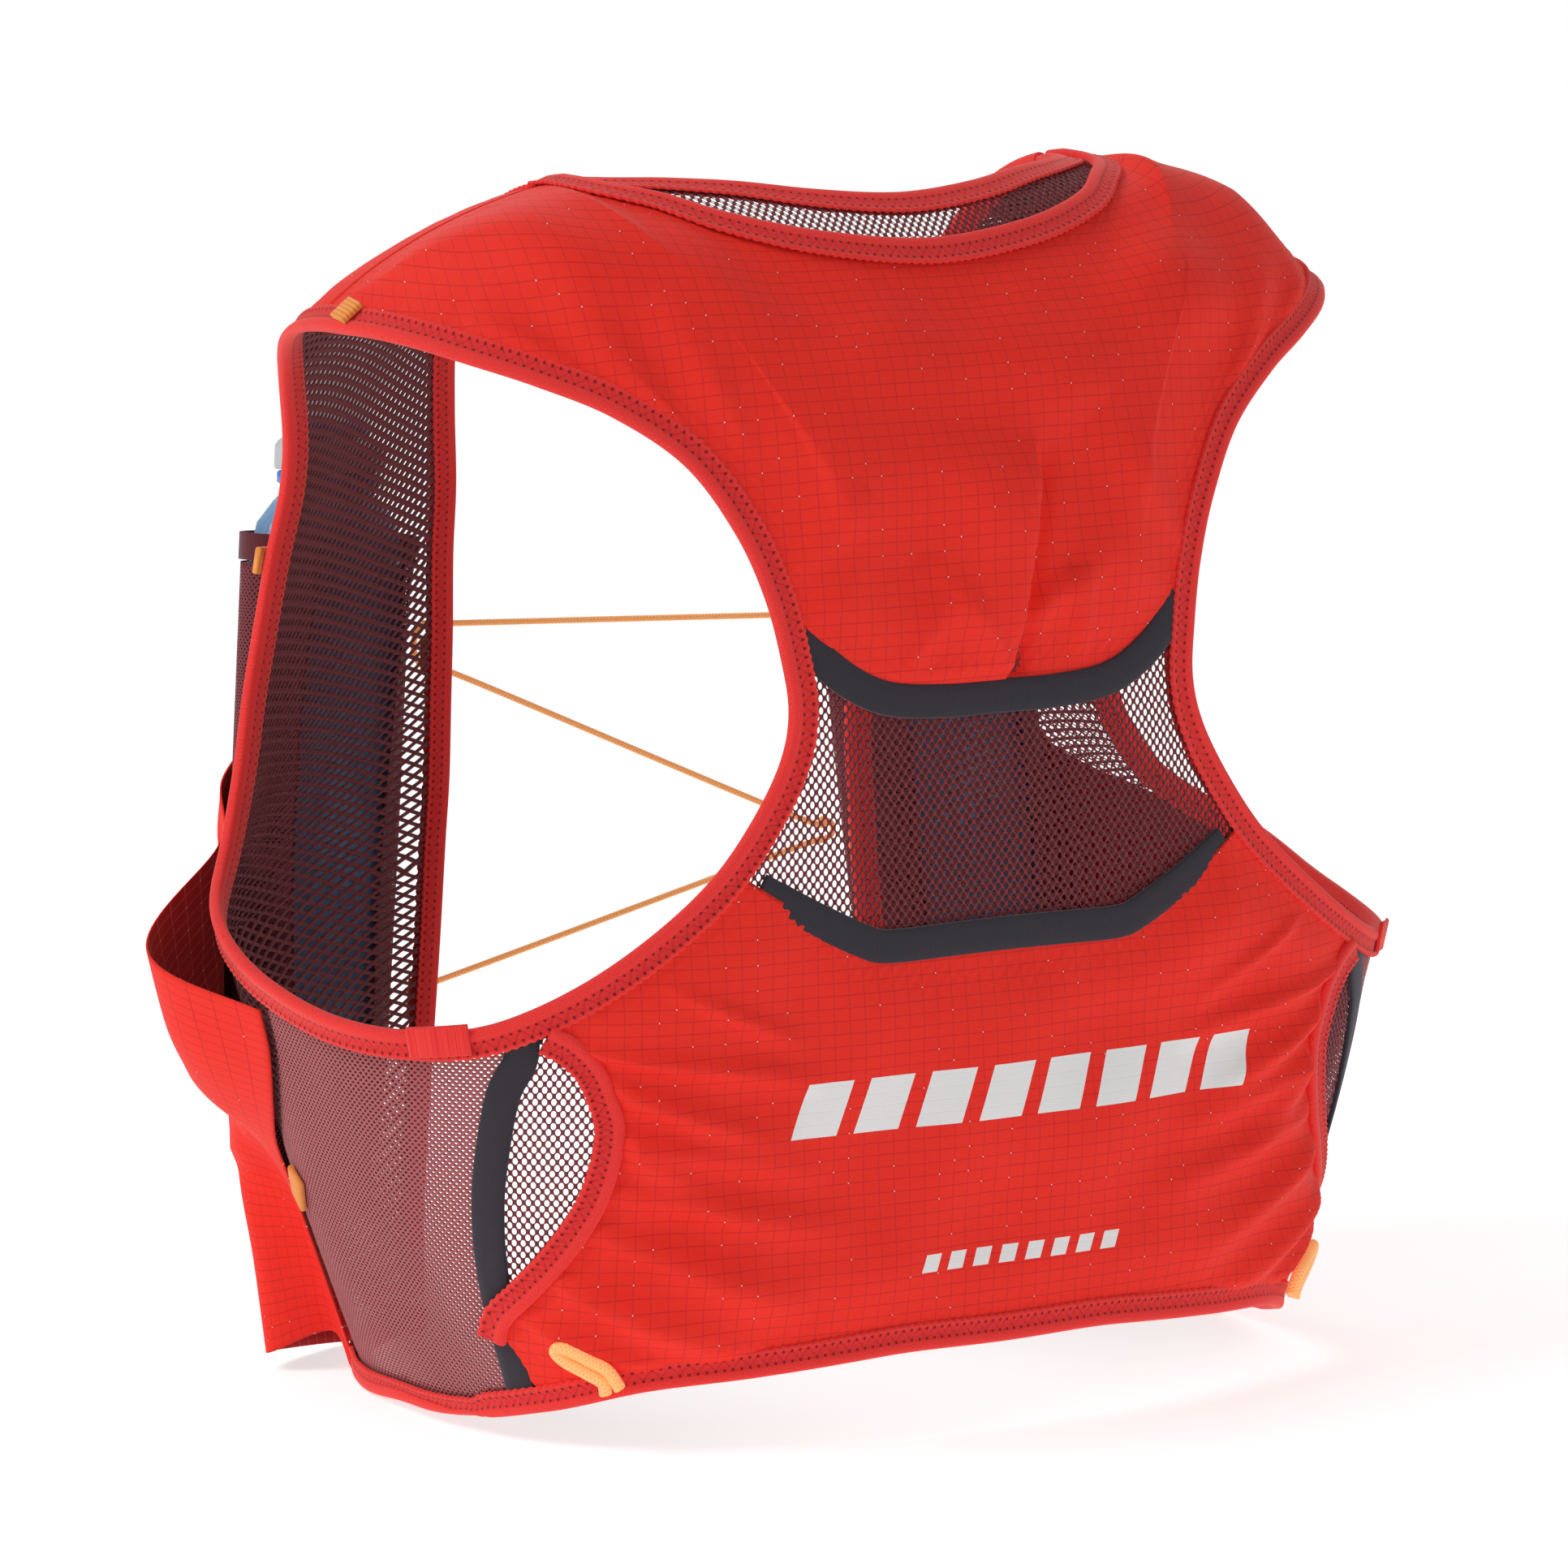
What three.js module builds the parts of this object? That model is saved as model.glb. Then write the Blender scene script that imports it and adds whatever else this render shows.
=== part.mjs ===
// Running hydration vest, standing open as if worn. Millimetres, +Z up, +X towards the wearer's
// left, +Y towards the wearer's back. Every fabric piece lies on one rounded torso form, and the
// curves that bound the pieces are given once, for the wearer's left, and mirrored.
import * as THREE from "three";

// Torso form: a rounded barrel that closes into a dome over the shoulders.
const FORM = {
  hemHalfWidth: 140,
  widthGain: 0.42,
  widthEase: 0.0004,
  halfDepth: 102,
  centreY: -4,
  crown: 362,
  roundness: 2.6,
  domeness: 4,
  coreZ: 150,
};
// The finished object rests on z = 0 and is centred on the origin.
const REST_LIFT = 6.74;
const CENTRE_SHIFT_Y = 17.265;

const BINDING = 8.6;
const BAND = 10;
const GAP = 1.2;
// Height of each fabric layer above the form, inner face then outer face.
const INNER = [0, 1];
const OUTER = [3.2, 4.2];
const FOLD = [-0.4, 4.6];
const OUTER_TRIM = [3.0, 4.7];
const INNER_TRIM = [-0.4, 1.5];
const STITCHED = [5.2, 6.8];

const DYE = {
  red: 0xc8102e,
  binding: 0xd3203a,
  burgundy: 0x6d1226,
  charcoal: 0x2b2c30,
  orange: 0xff6a2b,
  flask: 0x8fa9c4,
  ring: 0x1d6fd1,
  cap: 0xc9cdd1,
};

const v3 = (p) => new THREE.Vector3(p[0], p[1], p[2]);
const mirror = (p) => [-p[0], p[1], p[2]];

function halfWidth(z) {
  const height = Math.min(Math.max(z, 0), FORM.crown);
  return FORM.hemHalfWidth + FORM.widthGain * height - FORM.widthEase * height * height;
}

function fieldAt(p) {
  const across = Math.abs(p.x / halfWidth(p.z)) ** FORM.roundness;
  const deep = Math.abs((p.y - FORM.centreY) / FORM.halfDepth) ** FORM.roundness;
  const high = (Math.max(p.z, 0) / FORM.crown) ** FORM.domeness;
  return across + deep + high - 1;
}

function formNormal(p) {
  const step = 0.5;
  const slope = (axis) => {
    const ahead = p.clone().addScaledVector(axis, step);
    const behind = p.clone().addScaledVector(axis, -step);
    return fieldAt(ahead) - fieldAt(behind);
  };
  return new THREE.Vector3(
    slope(new THREE.Vector3(1, 0, 0)),
    slope(new THREE.Vector3(0, 1, 0)),
    slope(new THREE.Vector3(0, 0, 1)),
  ).normalize();
}

// Moves a point along its line from the form's core onto the form, then out by height.
function onForm(point, height = 0) {
  const core = new THREE.Vector3(0, FORM.centreY, FORM.coreZ);
  const reach = point.clone().sub(core);
  let near = 0.2;
  let far = 3;
  for (let i = 0; i < 44; i += 1) {
    const middle = (near + far) / 2;
    if (fieldAt(core.clone().addScaledVector(reach, middle)) < 0) near = middle;
    else far = middle;
  }
  const landed = core.clone().addScaledVector(reach, (near + far) / 2);
  return landed.addScaledVector(formNormal(landed), height);
}

// A smooth curve through control points, sampled evenly and laid on the form.
function lay(points, count) {
  const curve = new THREE.CatmullRomCurve3(points.map(v3), false, "centripetal");
  return curve.getSpacedPoints(count).map((p) => onForm(p));
}

// The same curve moved sideways on the form; positive is to the left when walking along it
// with the form's outside up.
function shifted(curve, distance) {
  return curve.map((p, i) => {
    const ahead = curve[Math.min(i + 1, curve.length - 1)];
    const behind = curve[Math.max(i - 1, 0)];
    const along = ahead.clone().sub(behind).normalize();
    const side = formNormal(p).cross(along).normalize();
    return onForm(p.clone().addScaledVector(side, distance));
  });
}

function resampled(curve, count) {
  const path = new THREE.CatmullRomCurve3(curve, false, "centripetal");
  return path.getSpacedPoints(count);
}

// Closed mesh from indexed triangles.
function solid(positions, triangles) {
  const geometry = new THREE.BufferGeometry();
  const flat = positions.flatMap((p) => [p.x, p.y, p.z]);
  geometry.setAttribute("position", new THREE.Float32BufferAttribute(flat, 3));
  geometry.setIndex(triangles.flat());
  return outward(geometry);
}

// Turns every face round when the mesh encloses a negative volume.
function outward(geometry) {
  const at = geometry.getAttribute("position");
  const index = geometry.getIndex().array;
  const corner = (i) => new THREE.Vector3().fromBufferAttribute(at, index[i]);
  let volume = 0;
  for (let i = 0; i < index.length; i += 3) {
    volume += corner(i).dot(corner(i + 1).cross(corner(i + 2)));
  }
  if (volume < 0) {
    for (let i = 0; i < index.length; i += 3) {
      const keep = index[i + 1];
      index[i + 1] = index[i + 2];
      index[i + 2] = keep;
    }
  }
  geometry.computeVertexNormals();
  return geometry;
}

// A sheet with thickness: two equal grids of points joined round their four edges.
function slab(lower, upper) {
  const rows = lower.length;
  const columns = lower[0].length;
  const positions = [...lower.flat(), ...upper.flat()];
  const half = rows * columns;
  const at = (level, r, c) => level * half + r * columns + c;
  const triangles = [];
  const quad = (a, b, c, d) => triangles.push([a, b, c], [a, c, d]);
  for (let r = 0; r < rows - 1; r += 1) {
    for (let c = 0; c < columns - 1; c += 1) {
      quad(at(0, r, c), at(0, r, c + 1), at(0, r + 1, c + 1), at(0, r + 1, c));
      quad(at(1, r, c), at(1, r + 1, c), at(1, r + 1, c + 1), at(1, r, c + 1));
    }
  }
  for (let r = 0; r < rows - 1; r += 1) {
    const end = columns - 1;
    quad(at(0, r, 0), at(0, r + 1, 0), at(1, r + 1, 0), at(1, r, 0));
    quad(at(0, r, end), at(1, r, end), at(1, r + 1, end), at(0, r + 1, end));
  }
  for (let c = 0; c < columns - 1; c += 1) {
    const end = rows - 1;
    quad(at(0, 0, c), at(1, 0, c), at(1, 0, c + 1), at(0, 0, c + 1));
    quad(at(0, end, c), at(0, end, c + 1), at(1, end, c + 1), at(1, end, c));
  }
  return solid(positions, triangles);
}

function slabOnForm(grid, layer) {
  const raise = (height) => grid.map((row) => row.map((p) => onForm(p, height)));
  return slab(raise(layer[0]), raise(layer[1]));
}

// A flat strip that follows a curve: it reaches from one sideways distance to another.
function strip(curve, from, to, layer) {
  const grid = [shifted(curve, from), shifted(curve, to)];
  return slabOnForm(grid, layer);
}

// Coons patch: fills four boundary curves that share their corners.
function filled(bottom, top, left, right, columns, rows) {
  const low = resampled(bottom, columns);
  const high = resampled(top, columns);
  const start = resampled(left, rows);
  const end = resampled(right, rows);
  const mix = (a, b, t) => a.clone().lerp(b, t);
  return start.map((_, r) => {
    const v = r / rows;
    return low.map((__, c) => {
      const u = c / columns;
      const ruled = mix(low[c], high[c], v).add(mix(start[r], end[r], u));
      const corners = mix(mix(low[0], low[columns], u), mix(high[0], high[columns], u), v);
      return ruled.sub(corners);
    });
  });
}

// Extends a grid whose last column lies on x = 0 with its own mirror image.
function mirroredGrid(grid) {
  return grid.map((row) => {
    const other = row.slice(0, -1).reverse();
    return [...row, ...other.map((p) => new THREE.Vector3(-p.x, p.y, p.z))];
  });
}

// Swept tube along a curve with flat ends.
function tube(points, radius, steps, sides) {
  const path = new THREE.CatmullRomCurve3(points.map(v3), false, "centripetal");
  const ring = new THREE.Shape();
  for (let i = 0; i < sides; i += 1) {
    const angle = (i / sides) * 2 * Math.PI;
    const move = i === 0 ? "moveTo" : "lineTo";
    ring[move](radius * Math.cos(angle), radius * Math.sin(angle));
  }
  return new THREE.ExtrudeGeometry(ring, { steps, extrudePath: path, bevelEnabled: false });
}

// Stacks closed rings of equal count into one closed mesh, with a point at each end.
function ringStack(rings, first, last) {
  const sides = rings[0].length;
  const positions = [first, ...rings.flat(), last];
  const at = (r, i) => 1 + r * sides + (i % sides);
  const triangles = [];
  for (let i = 0; i < sides; i += 1) {
    triangles.push([0, at(0, i + 1), at(0, i)]);
    triangles.push([positions.length - 1, at(rings.length - 1, i), at(rings.length - 1, i + 1)]);
    for (let r = 0; r < rings.length - 1; r += 1) {
      triangles.push([at(r, i), at(r, i + 1), at(r + 1, i + 1)]);
      triangles.push([at(r, i), at(r + 1, i + 1), at(r + 1, i)]);
    }
  }
  return solid(positions, triangles);
}

// ---- Edge curves of the wearer's left half --------------------------------------------------

// Armhole: over the back from the shoulder seam to the side seam, then up the front.
const armholeBack = lay([
  [166, -14, 316], [166, 4, 316], [160, 26, 314], [150, 44, 311], [136, 58, 307],
  [118, 70, 300], [100, 80, 287], [87, 87, 267], [79, 91, 247], [75, 94, 228], [73, 95, 212],
  [76, 95, 197], [85, 94, 180], [97, 92, 164], [112, 88, 150], [130, 82, 137], [148, 74, 127],
  [163, 64, 121], [173, 48, 120], [181, 30, 121], [186, 10, 124], [187, -12.5, 129],
], 48);
const armholeFront = lay([
  [187, -14.5, 130], [183, -38, 139], [175, -58, 148], [166, -69, 159], [159, -76, 178],
  [154, -79, 202], [150, -80, 222], [146, -79, 242], [143, -77, 262], [145, -71, 280],
  [152, -58, 298], [161, -38, 311], [166, -15.5, 316],
], 32);
// Neckline of the inner mesh, and the lower neckline of the outer panel in front of it.
const neckInner = lay([
  [0, 40, 355], [28, 36, 356], [50, 27, 357], [66, 18, 357], [78, 6, 356], [84, -14, 355],
], 16);
const neckOuter = lay([
  [0, 55, 341], [36, 51, 344], [61, 42, 349], [74, 30, 352.5], [88, 12, 352], [94, -14, 351],
], 16);
// Front edge from the shoulder seam down to the hem.
const frontEdge = lay([
  [84, -15.5, 355], [83, -40, 346], [82, -62, 328], [82, -78, 304], [80, -88, 285],
  [77, -95, 262], [76, -99, 238], [75, -102, 215], [75, -104, 193], [75, -105, 168],
  [76, -105, 148], [78, -105, 120], [80, -104, 95], [82, -100, 60], [85, -97, 30], [86, -92.5, -4.6],
], 44);
// Hem, from the middle of the back to the side seam, and from there to the front edge.
const hemBack = lay([
  [0, 99, 17], [41, 98, 16.5], [80, 90, 14.5], [110, 76, 11], [128, 54, 5], [137, 30, -1],
  [140.5, 7, -4.5], [139.5, -20, -5], [130, -56, -5],
], 26);
const hemFront = lay([[129.5, -57.5, -5], [115, -76, -5], [99, -88, -5], [86, -92.5, -4.6]], 10);
// Side seam between the side panel and the front.
const sideSeam = lay([
  [187, -13.5, 129.5], [184, -14, 118], [178, -17, 103], [168, -30, 84], [155, -52, 62],
  [144, -57, 38], [136, -58, 18], [129.6, -56.8, -5],
], 22);
// Elastic band down the back edge of the side panel.
const sideBand = lay([
  [152, 72, 109], [155, 67, 100], [155, 60, 80], [153, 56, 66], [150, 51, 50], [146, 46, 33],
  [142, 43, 15],
], 14);
// Open side edge of the lower back pocket.
const pocketEdge = lay([
  [137, 80, 118], [131, 83, 110], [127, 84, 101], [125, 85, 90], [125.5, 83, 77], [129, 79, 62.5],
  [135, 70, 49], [140, 60, 38], [142, 53, 29], [142.5, 49, 19],
], 18);
// Lower edge of the upper back panel, and upper edge of the lower back pocket.
const upperBandEdge = lay([
  [0, 98, 218], [35, 97, 218.5], [45, 96, 220], [51, 95, 223],
], 10);
const lowerBandEdge = lay([[0, 99, 145], [38, 98, 144.5], [50, 97, 147], [79.5, 93, 163.5]], 10);

const cut = (curve, from, to) => curve.slice(from, to === undefined ? curve.length : to + 1);
const nearest = (curve, z, first = 0, last = curve.length - 1) => {
  let best = first;
  for (let i = first; i <= last; i += 1) {
    if (Math.abs(curve[i].z - z) < Math.abs(curve[best].z - z)) best = i;
  }
  return best;
};
const closest = (curve, target) => {
  const aim = v3(target);
  let best = 0;
  curve.forEach((p, i) => {
    if (p.distanceTo(aim) < curve[best].distanceTo(aim)) best = i;
  });
  return best;
};
const line = (a, b, count = 8) => {
  const points = [];
  for (let i = 0; i <= count; i += 1) points.push(onForm(a.clone().lerp(b, i / count)));
  return points;
};
const last = (curve) => curve[curve.length - 1];
const reversed = (curve) => [...curve].reverse();

// ---- Assembly -------------------------------------------------------------------------------

const vest = new THREE.Group();
vest.name = "hydration_vest";

function place(name, geometry, colour) {
  geometry.translate(0, CENTRE_SHIFT_Y, REST_LIFT);
  const material = new THREE.MeshStandardMaterial({ color: colour, name });
  const mesh = new THREE.Mesh(geometry, material);
  mesh.name = name;
  vest.add(mesh);
}

function reflected(geometry) {
  const copy = geometry.clone();
  const at = copy.getAttribute("position");
  for (let i = 0; i < at.count; i += 1) at.setX(i, -at.getX(i));
  if (!copy.getIndex()) copy.setIndex([...Array(at.count).keys()]);
  return outward(copy);
}

// One piece on the wearer's left and its mirror image on the right.
function placePair(name, geometry, colour) {
  const other = reflected(geometry);
  place(`${name}_left`, geometry, colour);
  place(`${name}_right`, other, colour);
}

// Distance from an edge curve to the fabric behind its binding.
const INSET = BINDING + GAP;
const armholeWall = shifted(armholeBack, INSET);
const tabAt = closest(armholeBack, [163, 64, 121]);
const upperEnd = closest(armholeBack, [76, 92, 235]);

// Back mesh panel: from the hem to the inner neckline, between armholes and side bands.
{
  const hemWall = shifted(hemBack, -INSET);
  const bandWall = shifted(sideBand, BAND / 2 + GAP);
  const hemIndex = closest(hemWall, [140, 44, 12]);
  const left = resampled([
    ...reversed(bandWall).slice(1), ...reversed(cut(armholeWall, 1, tabAt - 4)),
  ], 30);
  const neck = shifted(neckInner, INSET);
  const bottom = resampled([...reversed(cut(hemWall, 0, hemIndex))], 12);
  bottom[0] = left[0];
  const seam = line(last(left), last(neck).clone().setY(last(left).y), 5);
  const top = [...seam.slice(0, -1), ...reversed(neck)];
  const grid = filled(bottom, top, left, [bottom[12], top[top.length - 1]], 11, 20);
  place("back_mesh_panel", slabOnForm(mirroredGrid(grid), INNER), DYE.burgundy);
}

// Upper back panel: outer fabric from the upper band over both shoulders.
{
  const left = resampled(reversed(cut(armholeWall, 1, upperEnd)), 24);
  const neck = shifted(neckOuter, INSET);
  const bottom = resampled(reversed(shifted(upperBandEdge, -GAP)), 8);
  bottom[0] = left[0];
  const seam = line(last(left), last(neck).clone().setY(last(left).y), 5);
  const top = [...seam.slice(0, -1), ...reversed(neck)];
  const grid = filled(bottom, top, left, [bottom[8], top[top.length - 1]], 11, 14);
  place("upper_back_panel", slabOnForm(mirroredGrid(grid), OUTER), DYE.red);
}

// A strip across the back, symmetric about the middle.
function acrossStrip(curve, from, to, layer) {
  const near = shifted(curve, from);
  const far = shifted(curve, to);
  const full = (half) => [
    ...reversed(half), ...half.slice(1).map((p) => new THREE.Vector3(-p.x, p.y, p.z)),
  ];
  return slabOnForm([full(near), full(far)], layer);
}

place("upper_back_elastic_band", acrossStrip(upperBandEdge, 0, BAND, OUTER_TRIM), DYE.charcoal);
place("lower_pocket_elastic_band", acrossStrip(lowerBandEdge, 0, BAND, OUTER_TRIM), DYE.charcoal);
place("neck_binding_inner", acrossStrip(neckInner, 0, BINDING, INNER_TRIM), DYE.binding);
place("neck_binding_outer", acrossStrip(neckOuter, 0, BINDING, OUTER_TRIM), DYE.binding);
place("hem_binding_back", acrossStrip(hemBack, 0, -BINDING, FOLD), DYE.binding);

// Lower back pocket: outer fabric between the lower band, the armholes, the open side edges
// and the hem.
{
  const edgeWall = shifted(pocketEdge, GAP);
  const hemWall = shifted(hemBack, -INSET);
  const bandWall = shifted(lowerBandEdge, BAND + GAP);
  const armFrom = closest(armholeWall, [98, 95, 153]);
  const armTo = closest(armholeWall, [120, 86, 133]);
  const left = resampled([
    ...reversed(edgeWall).slice(0, -1), ...reversed(cut(armholeWall, armFrom, armTo)),
  ], 26);
  const hemIndex = closest(hemWall, left[0].toArray());
  const bottom = resampled(reversed(cut(hemWall, 0, hemIndex)), 10);
  bottom[0] = left[0];
  const top = resampled(reversed(bandWall), 8);
  top[0] = last(left);
  const grid = filled(bottom, top, left, [bottom[10], top[8]], 9, 12);
  place("lower_back_pocket_panel", slabOnForm(mirroredGrid(grid), OUTER), DYE.red);
}
placePair("side_pocket_binding", strip(pocketEdge, 0, -BINDING, OUTER_TRIM), DYE.binding);

// Armhole bindings over the back, stopped short of the underarm tabs.
placePair("armhole_binding_back", strip(armholeBack, 0, BINDING, FOLD), DYE.binding);
placePair("side_elastic_band", strip(sideBand, -BAND / 2, BAND / 2, [-0.2, 2.0]), DYE.charcoal);

// Side panels of double mesh.
{
  const bandWall = shifted(sideBand, -(BAND / 2 + GAP));
  const seamWall = shifted(sideSeam, GAP);
  const hemWall = shifted(hemBack, -INSET);
  const armWall = shifted(armholeBack, INSET + 2);
  const right = resampled(reversed(bandWall), 12);
  const left = resampled(reversed(cut(seamWall, 2, 20)), 12);
  const hemLow = closest(hemWall, right[0].toArray());
  const bottom = resampled(reversed(cut(hemWall, hemLow, hemWall.length - 1)), 8);
  bottom[0] = left[0];
  bottom[8] = right[0];
  const top = resampled(reversed(cut(armWall, tabAt + 2, armWall.length - 1)), 8);
  top[0] = last(left);
  top[8] = last(right);
  const grid = filled(bottom, top, left, right, 8, 12);
  placePair("side_mesh_panel", slabOnForm(grid, [0, 1.4]), DYE.burgundy);
}

// ---- Fronts -----------------------------------------------------------------------------------

const frontWall = shifted(frontEdge, INSET);
const armholeFrontWall = shifted(armholeFront, INSET);
const seamFront = shifted(sideSeam, -GAP);

// Front mesh: strap over the shoulder, chest and flank in one piece.
{
  const hemWall = shifted(hemFront, -INSET);
  const right = resampled(reversed(cut(frontWall, 1, nearest(frontWall, 5))), 24);
  const left = resampled([
    ...reversed(cut(seamFront, 2, 19)), ...cut(armholeFrontWall, 3, armholeFront.length - 1),
  ], 24);
  const bottom = resampled([left[0], ...cut(hemWall, 2, 8), right[0]], 6);
  const top = line(last(left), last(right), 6);
  const grid = filled(bottom, top, left, right, 6, 22);
  placePair("front_mesh_panel", slabOnForm(grid, INNER), DYE.burgundy);
}

// Outer panel from the shoulder seam down to the mouth of the flask pocket.
{
  const low = 283;
  const right = resampled(reversed(cut(frontWall, 1, nearest(frontWall, low))), 8);
  const armFrom = nearest(armholeFrontWall, low, 16, armholeFront.length - 1);
  const left = resampled(cut(armholeFrontWall, armFrom, armholeFront.length - 1), 8);
  const grid = filled(line(left[0], right[0], 5), line(last(left), last(right), 5), left, right, 5, 8);
  placePair("front_shoulder_panel", slabOnForm(grid, OUTER), DYE.red);
}

const frontStop = nearest(frontEdge, 4.5);
placePair("armhole_binding_front", strip(armholeFront, 0, BINDING, FOLD), DYE.binding);
placePair("front_edge_binding", strip(cut(frontEdge, 0, frontStop), 0, BINDING, FOLD), DYE.binding);
placePair("hem_binding_front", strip(cut(hemFront, 0, 10), 0, -BINDING, FOLD), DYE.binding);

// ---- Soft flask ---------------------------------------------------------------------------------

const FLASK = {
  foot: [123, -106, 50],
  head: [104.5, -117.5, 264],
  wide: [0.94, 0.34, 0],
  wall: 1.5,
  neckRadius: 12.5,
  neckTop: 219.5,
};
const flaskFoot = v3(FLASK.foot);
const flaskAlong = v3(FLASK.head).sub(flaskFoot).normalize();
const flaskWide = v3(FLASK.wide);
flaskWide.addScaledVector(flaskAlong, -flaskWide.dot(flaskAlong)).normalize();
const flaskOut = flaskWide.clone().cross(flaskAlong).normalize();

// Distance up the flask, half its width, half its thickness.
const FLASK_SECTIONS = [
  [0, 26, 2.6], [6, 30, 4.2], [30, 32, 9], [60, 32, 13], [100, 32, 16], [150, 32, 16],
  [186, 31, 15.5], [196, 28, 15], [203, 20, 13.5], [207, 12.5, 12.5],
];
const THICKEST = 16;
const LEAN = 0.3;

function flaskSection(s) {
  const list = FLASK_SECTIONS;
  let i = 0;
  while (i < list.length - 2 && s > list[i + 1][0]) i += 1;
  const t = THREE.MathUtils.clamp((s - list[i][0]) / (list[i + 1][0] - list[i][0]), 0, 1);
  const wide = THREE.MathUtils.lerp(list[i][1], list[i + 1][1], t);
  const thick = THREE.MathUtils.lerp(list[i][2], list[i + 1][2], t);
  // The flat foot of the flask lies close to the body.
  const lean = s > 190 ? 0 : -LEAN * (THICKEST - thick);
  const below = s < 0 ? (10.5 * s) / 45 : 0;
  return { wide, thick, lean: lean + below };
}

function flaskPoint(s, across, out) {
  return flaskFoot.clone()
    .addScaledVector(flaskAlong, s)
    .addScaledVector(flaskWide, across)
    .addScaledVector(flaskOut, out);
}

function flaskRing(s, grow, sides = 16) {
  const { wide, thick, lean } = flaskSection(s);
  const ring = [];
  for (let i = 0; i < sides; i += 1) {
    const angle = (i / sides) * 2 * Math.PI;
    ring.push(flaskPoint(
      s,
      (wide + grow) * Math.cos(angle),
      lean + (thick + grow) * Math.sin(angle),
    ));
  }
  return ring;
}

{
  const outer = FLASK_SECTIONS.map(([s]) => flaskRing(s, 0));
  outer.push(flaskRing(FLASK.neckTop, 0));
  const inner = FLASK_SECTIONS.slice(1).map(([s]) => flaskRing(s, -FLASK.wall)).reverse();
  inner.unshift(flaskRing(FLASK.neckTop, -FLASK.wall));
  const lean = flaskSection(0).lean;
  const body = ringStack(
    [...outer, ...inner],
    flaskPoint(0, 0, lean),
    flaskPoint(6, 0, flaskSection(6).lean),
  );
  placePair("flask_body", body, DYE.flask);
}

// A turned piece on the flask's axis, from [radius, distance up the flask] pairs.
function turned(profile, sides = 24) {
  const geometry = new THREE.LatheGeometry(profile.map(([r, s]) => new THREE.Vector2(r, s)), sides);
  const basis = new THREE.Matrix4().makeBasis(flaskWide, flaskAlong, flaskOut);
  basis.setPosition(flaskFoot);
  geometry.applyMatrix4(basis);
  return outward(geometry);
}

const neckClear = FLASK.neckRadius + 0.3;
placePair("flask_collar", turned([
  [neckClear, 207.6], [16, 207.6], [16, 211.6], [neckClear, 211.6], [neckClear, 207.6],
]), DYE.ring);
placePair("flask_cap", turned([
  [0, 219.9], [neckClear, 219.9], [neckClear, 212], [17, 212], [17, 220], [15, 222], [0, 222],
]), DYE.cap);
placePair("flask_bite_valve", turned([
  [0, 222.4], [11, 222.4], [11.5, 224], [9, 227], [0, 227.5],
]), DYE.cap);

// ---- Pockets on the fronts ----------------------------------------------------------------------

// Lets a point sink against the flask's outward direction until it meets the form.
function sunk(point, height) {
  let high = 0;
  let low = 80;
  for (let i = 0; i < 30; i += 1) {
    const middle = (high + low) / 2;
    if (fieldAt(point.clone().addScaledVector(flaskOut, -middle)) > 0) high = middle;
    else low = middle;
  }
  const landed = point.clone().addScaledVector(flaskOut, -low);
  return landed.addScaledVector(formNormal(landed), height);
}

const FOOT_INNER = -12;
const FOOT_OUTER = 25;
const SLEEVE_STEPS = 12;
// The sleeve follows the flask this far round its back before it turns to the chest, radians.
const SLEEVE_WRAP = 0.6;

// The sleeve does not narrow above this level, so the flask's widest part passes its mouth.
const SLEEVE_FULL = 150;

// One row across the stretch sleeve that holds the flask.
function sleeveRow(s, clear, height) {
  const { wide, thick, lean } = flaskSection(Math.min(s, SLEEVE_FULL));
  const row = [sunk(flaskPoint(s, FOOT_INNER, 0), height)];
  for (let i = 0; i <= SLEEVE_STEPS; i += 1) {
    const angle = Math.PI + SLEEVE_WRAP - (Math.PI + 2 * SLEEVE_WRAP) * (i / SLEEVE_STEPS);
    row.push(flaskPoint(
      s,
      (wide + clear) * Math.cos(angle),
      lean + (thick + clear) * Math.sin(angle),
    ));
  }
  row.push(sunk(flaskPoint(s, FOOT_OUTER, 0), height));
  return row;
}

function sleeveFloor(s, height) {
  const row = [];
  for (let i = 0; i <= SLEEVE_STEPS + 2; i += 1) {
    const across = THREE.MathUtils.lerp(FOOT_INNER, FOOT_OUTER, i / (SLEEVE_STEPS + 2));
    row.push(sunk(flaskPoint(s, across, 0), height));
  }
  return row;
}

const SLEEVE_CLEAR = 1.2;
const SLEEVE_THICK = 1;
const RIM_THICK = 1.4;
{
  const levels = [-3, 6, 30, 60, 100, 150, 184];
  const wall = (floor, clear, height) => [
    sleeveFloor(floor, 2.1), ...levels.map((s) => sleeveRow(s, clear, height)),
  ];
  // Behind the flask the wall turns over, so its flask side lies farther from the chest.
  const inner = wall(-13.5, SLEEVE_CLEAR, 2.6);
  const outer = wall(-15, SLEEVE_CLEAR + SLEEVE_THICK, 1.6);
  placePair("flask_pocket", slab(inner, outer), DYE.burgundy);
  const rim = [184.6, 189, 193].map((s) => sleeveRow(s, SLEEVE_CLEAR, 3));
  const rimOuter = [184.6, 189, 193].map((s) => sleeveRow(s, SLEEVE_CLEAR + RIM_THICK, 1.6));
  placePair("flask_pocket_elastic", slab(rim, rimOuter), DYE.charcoal);
}

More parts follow.
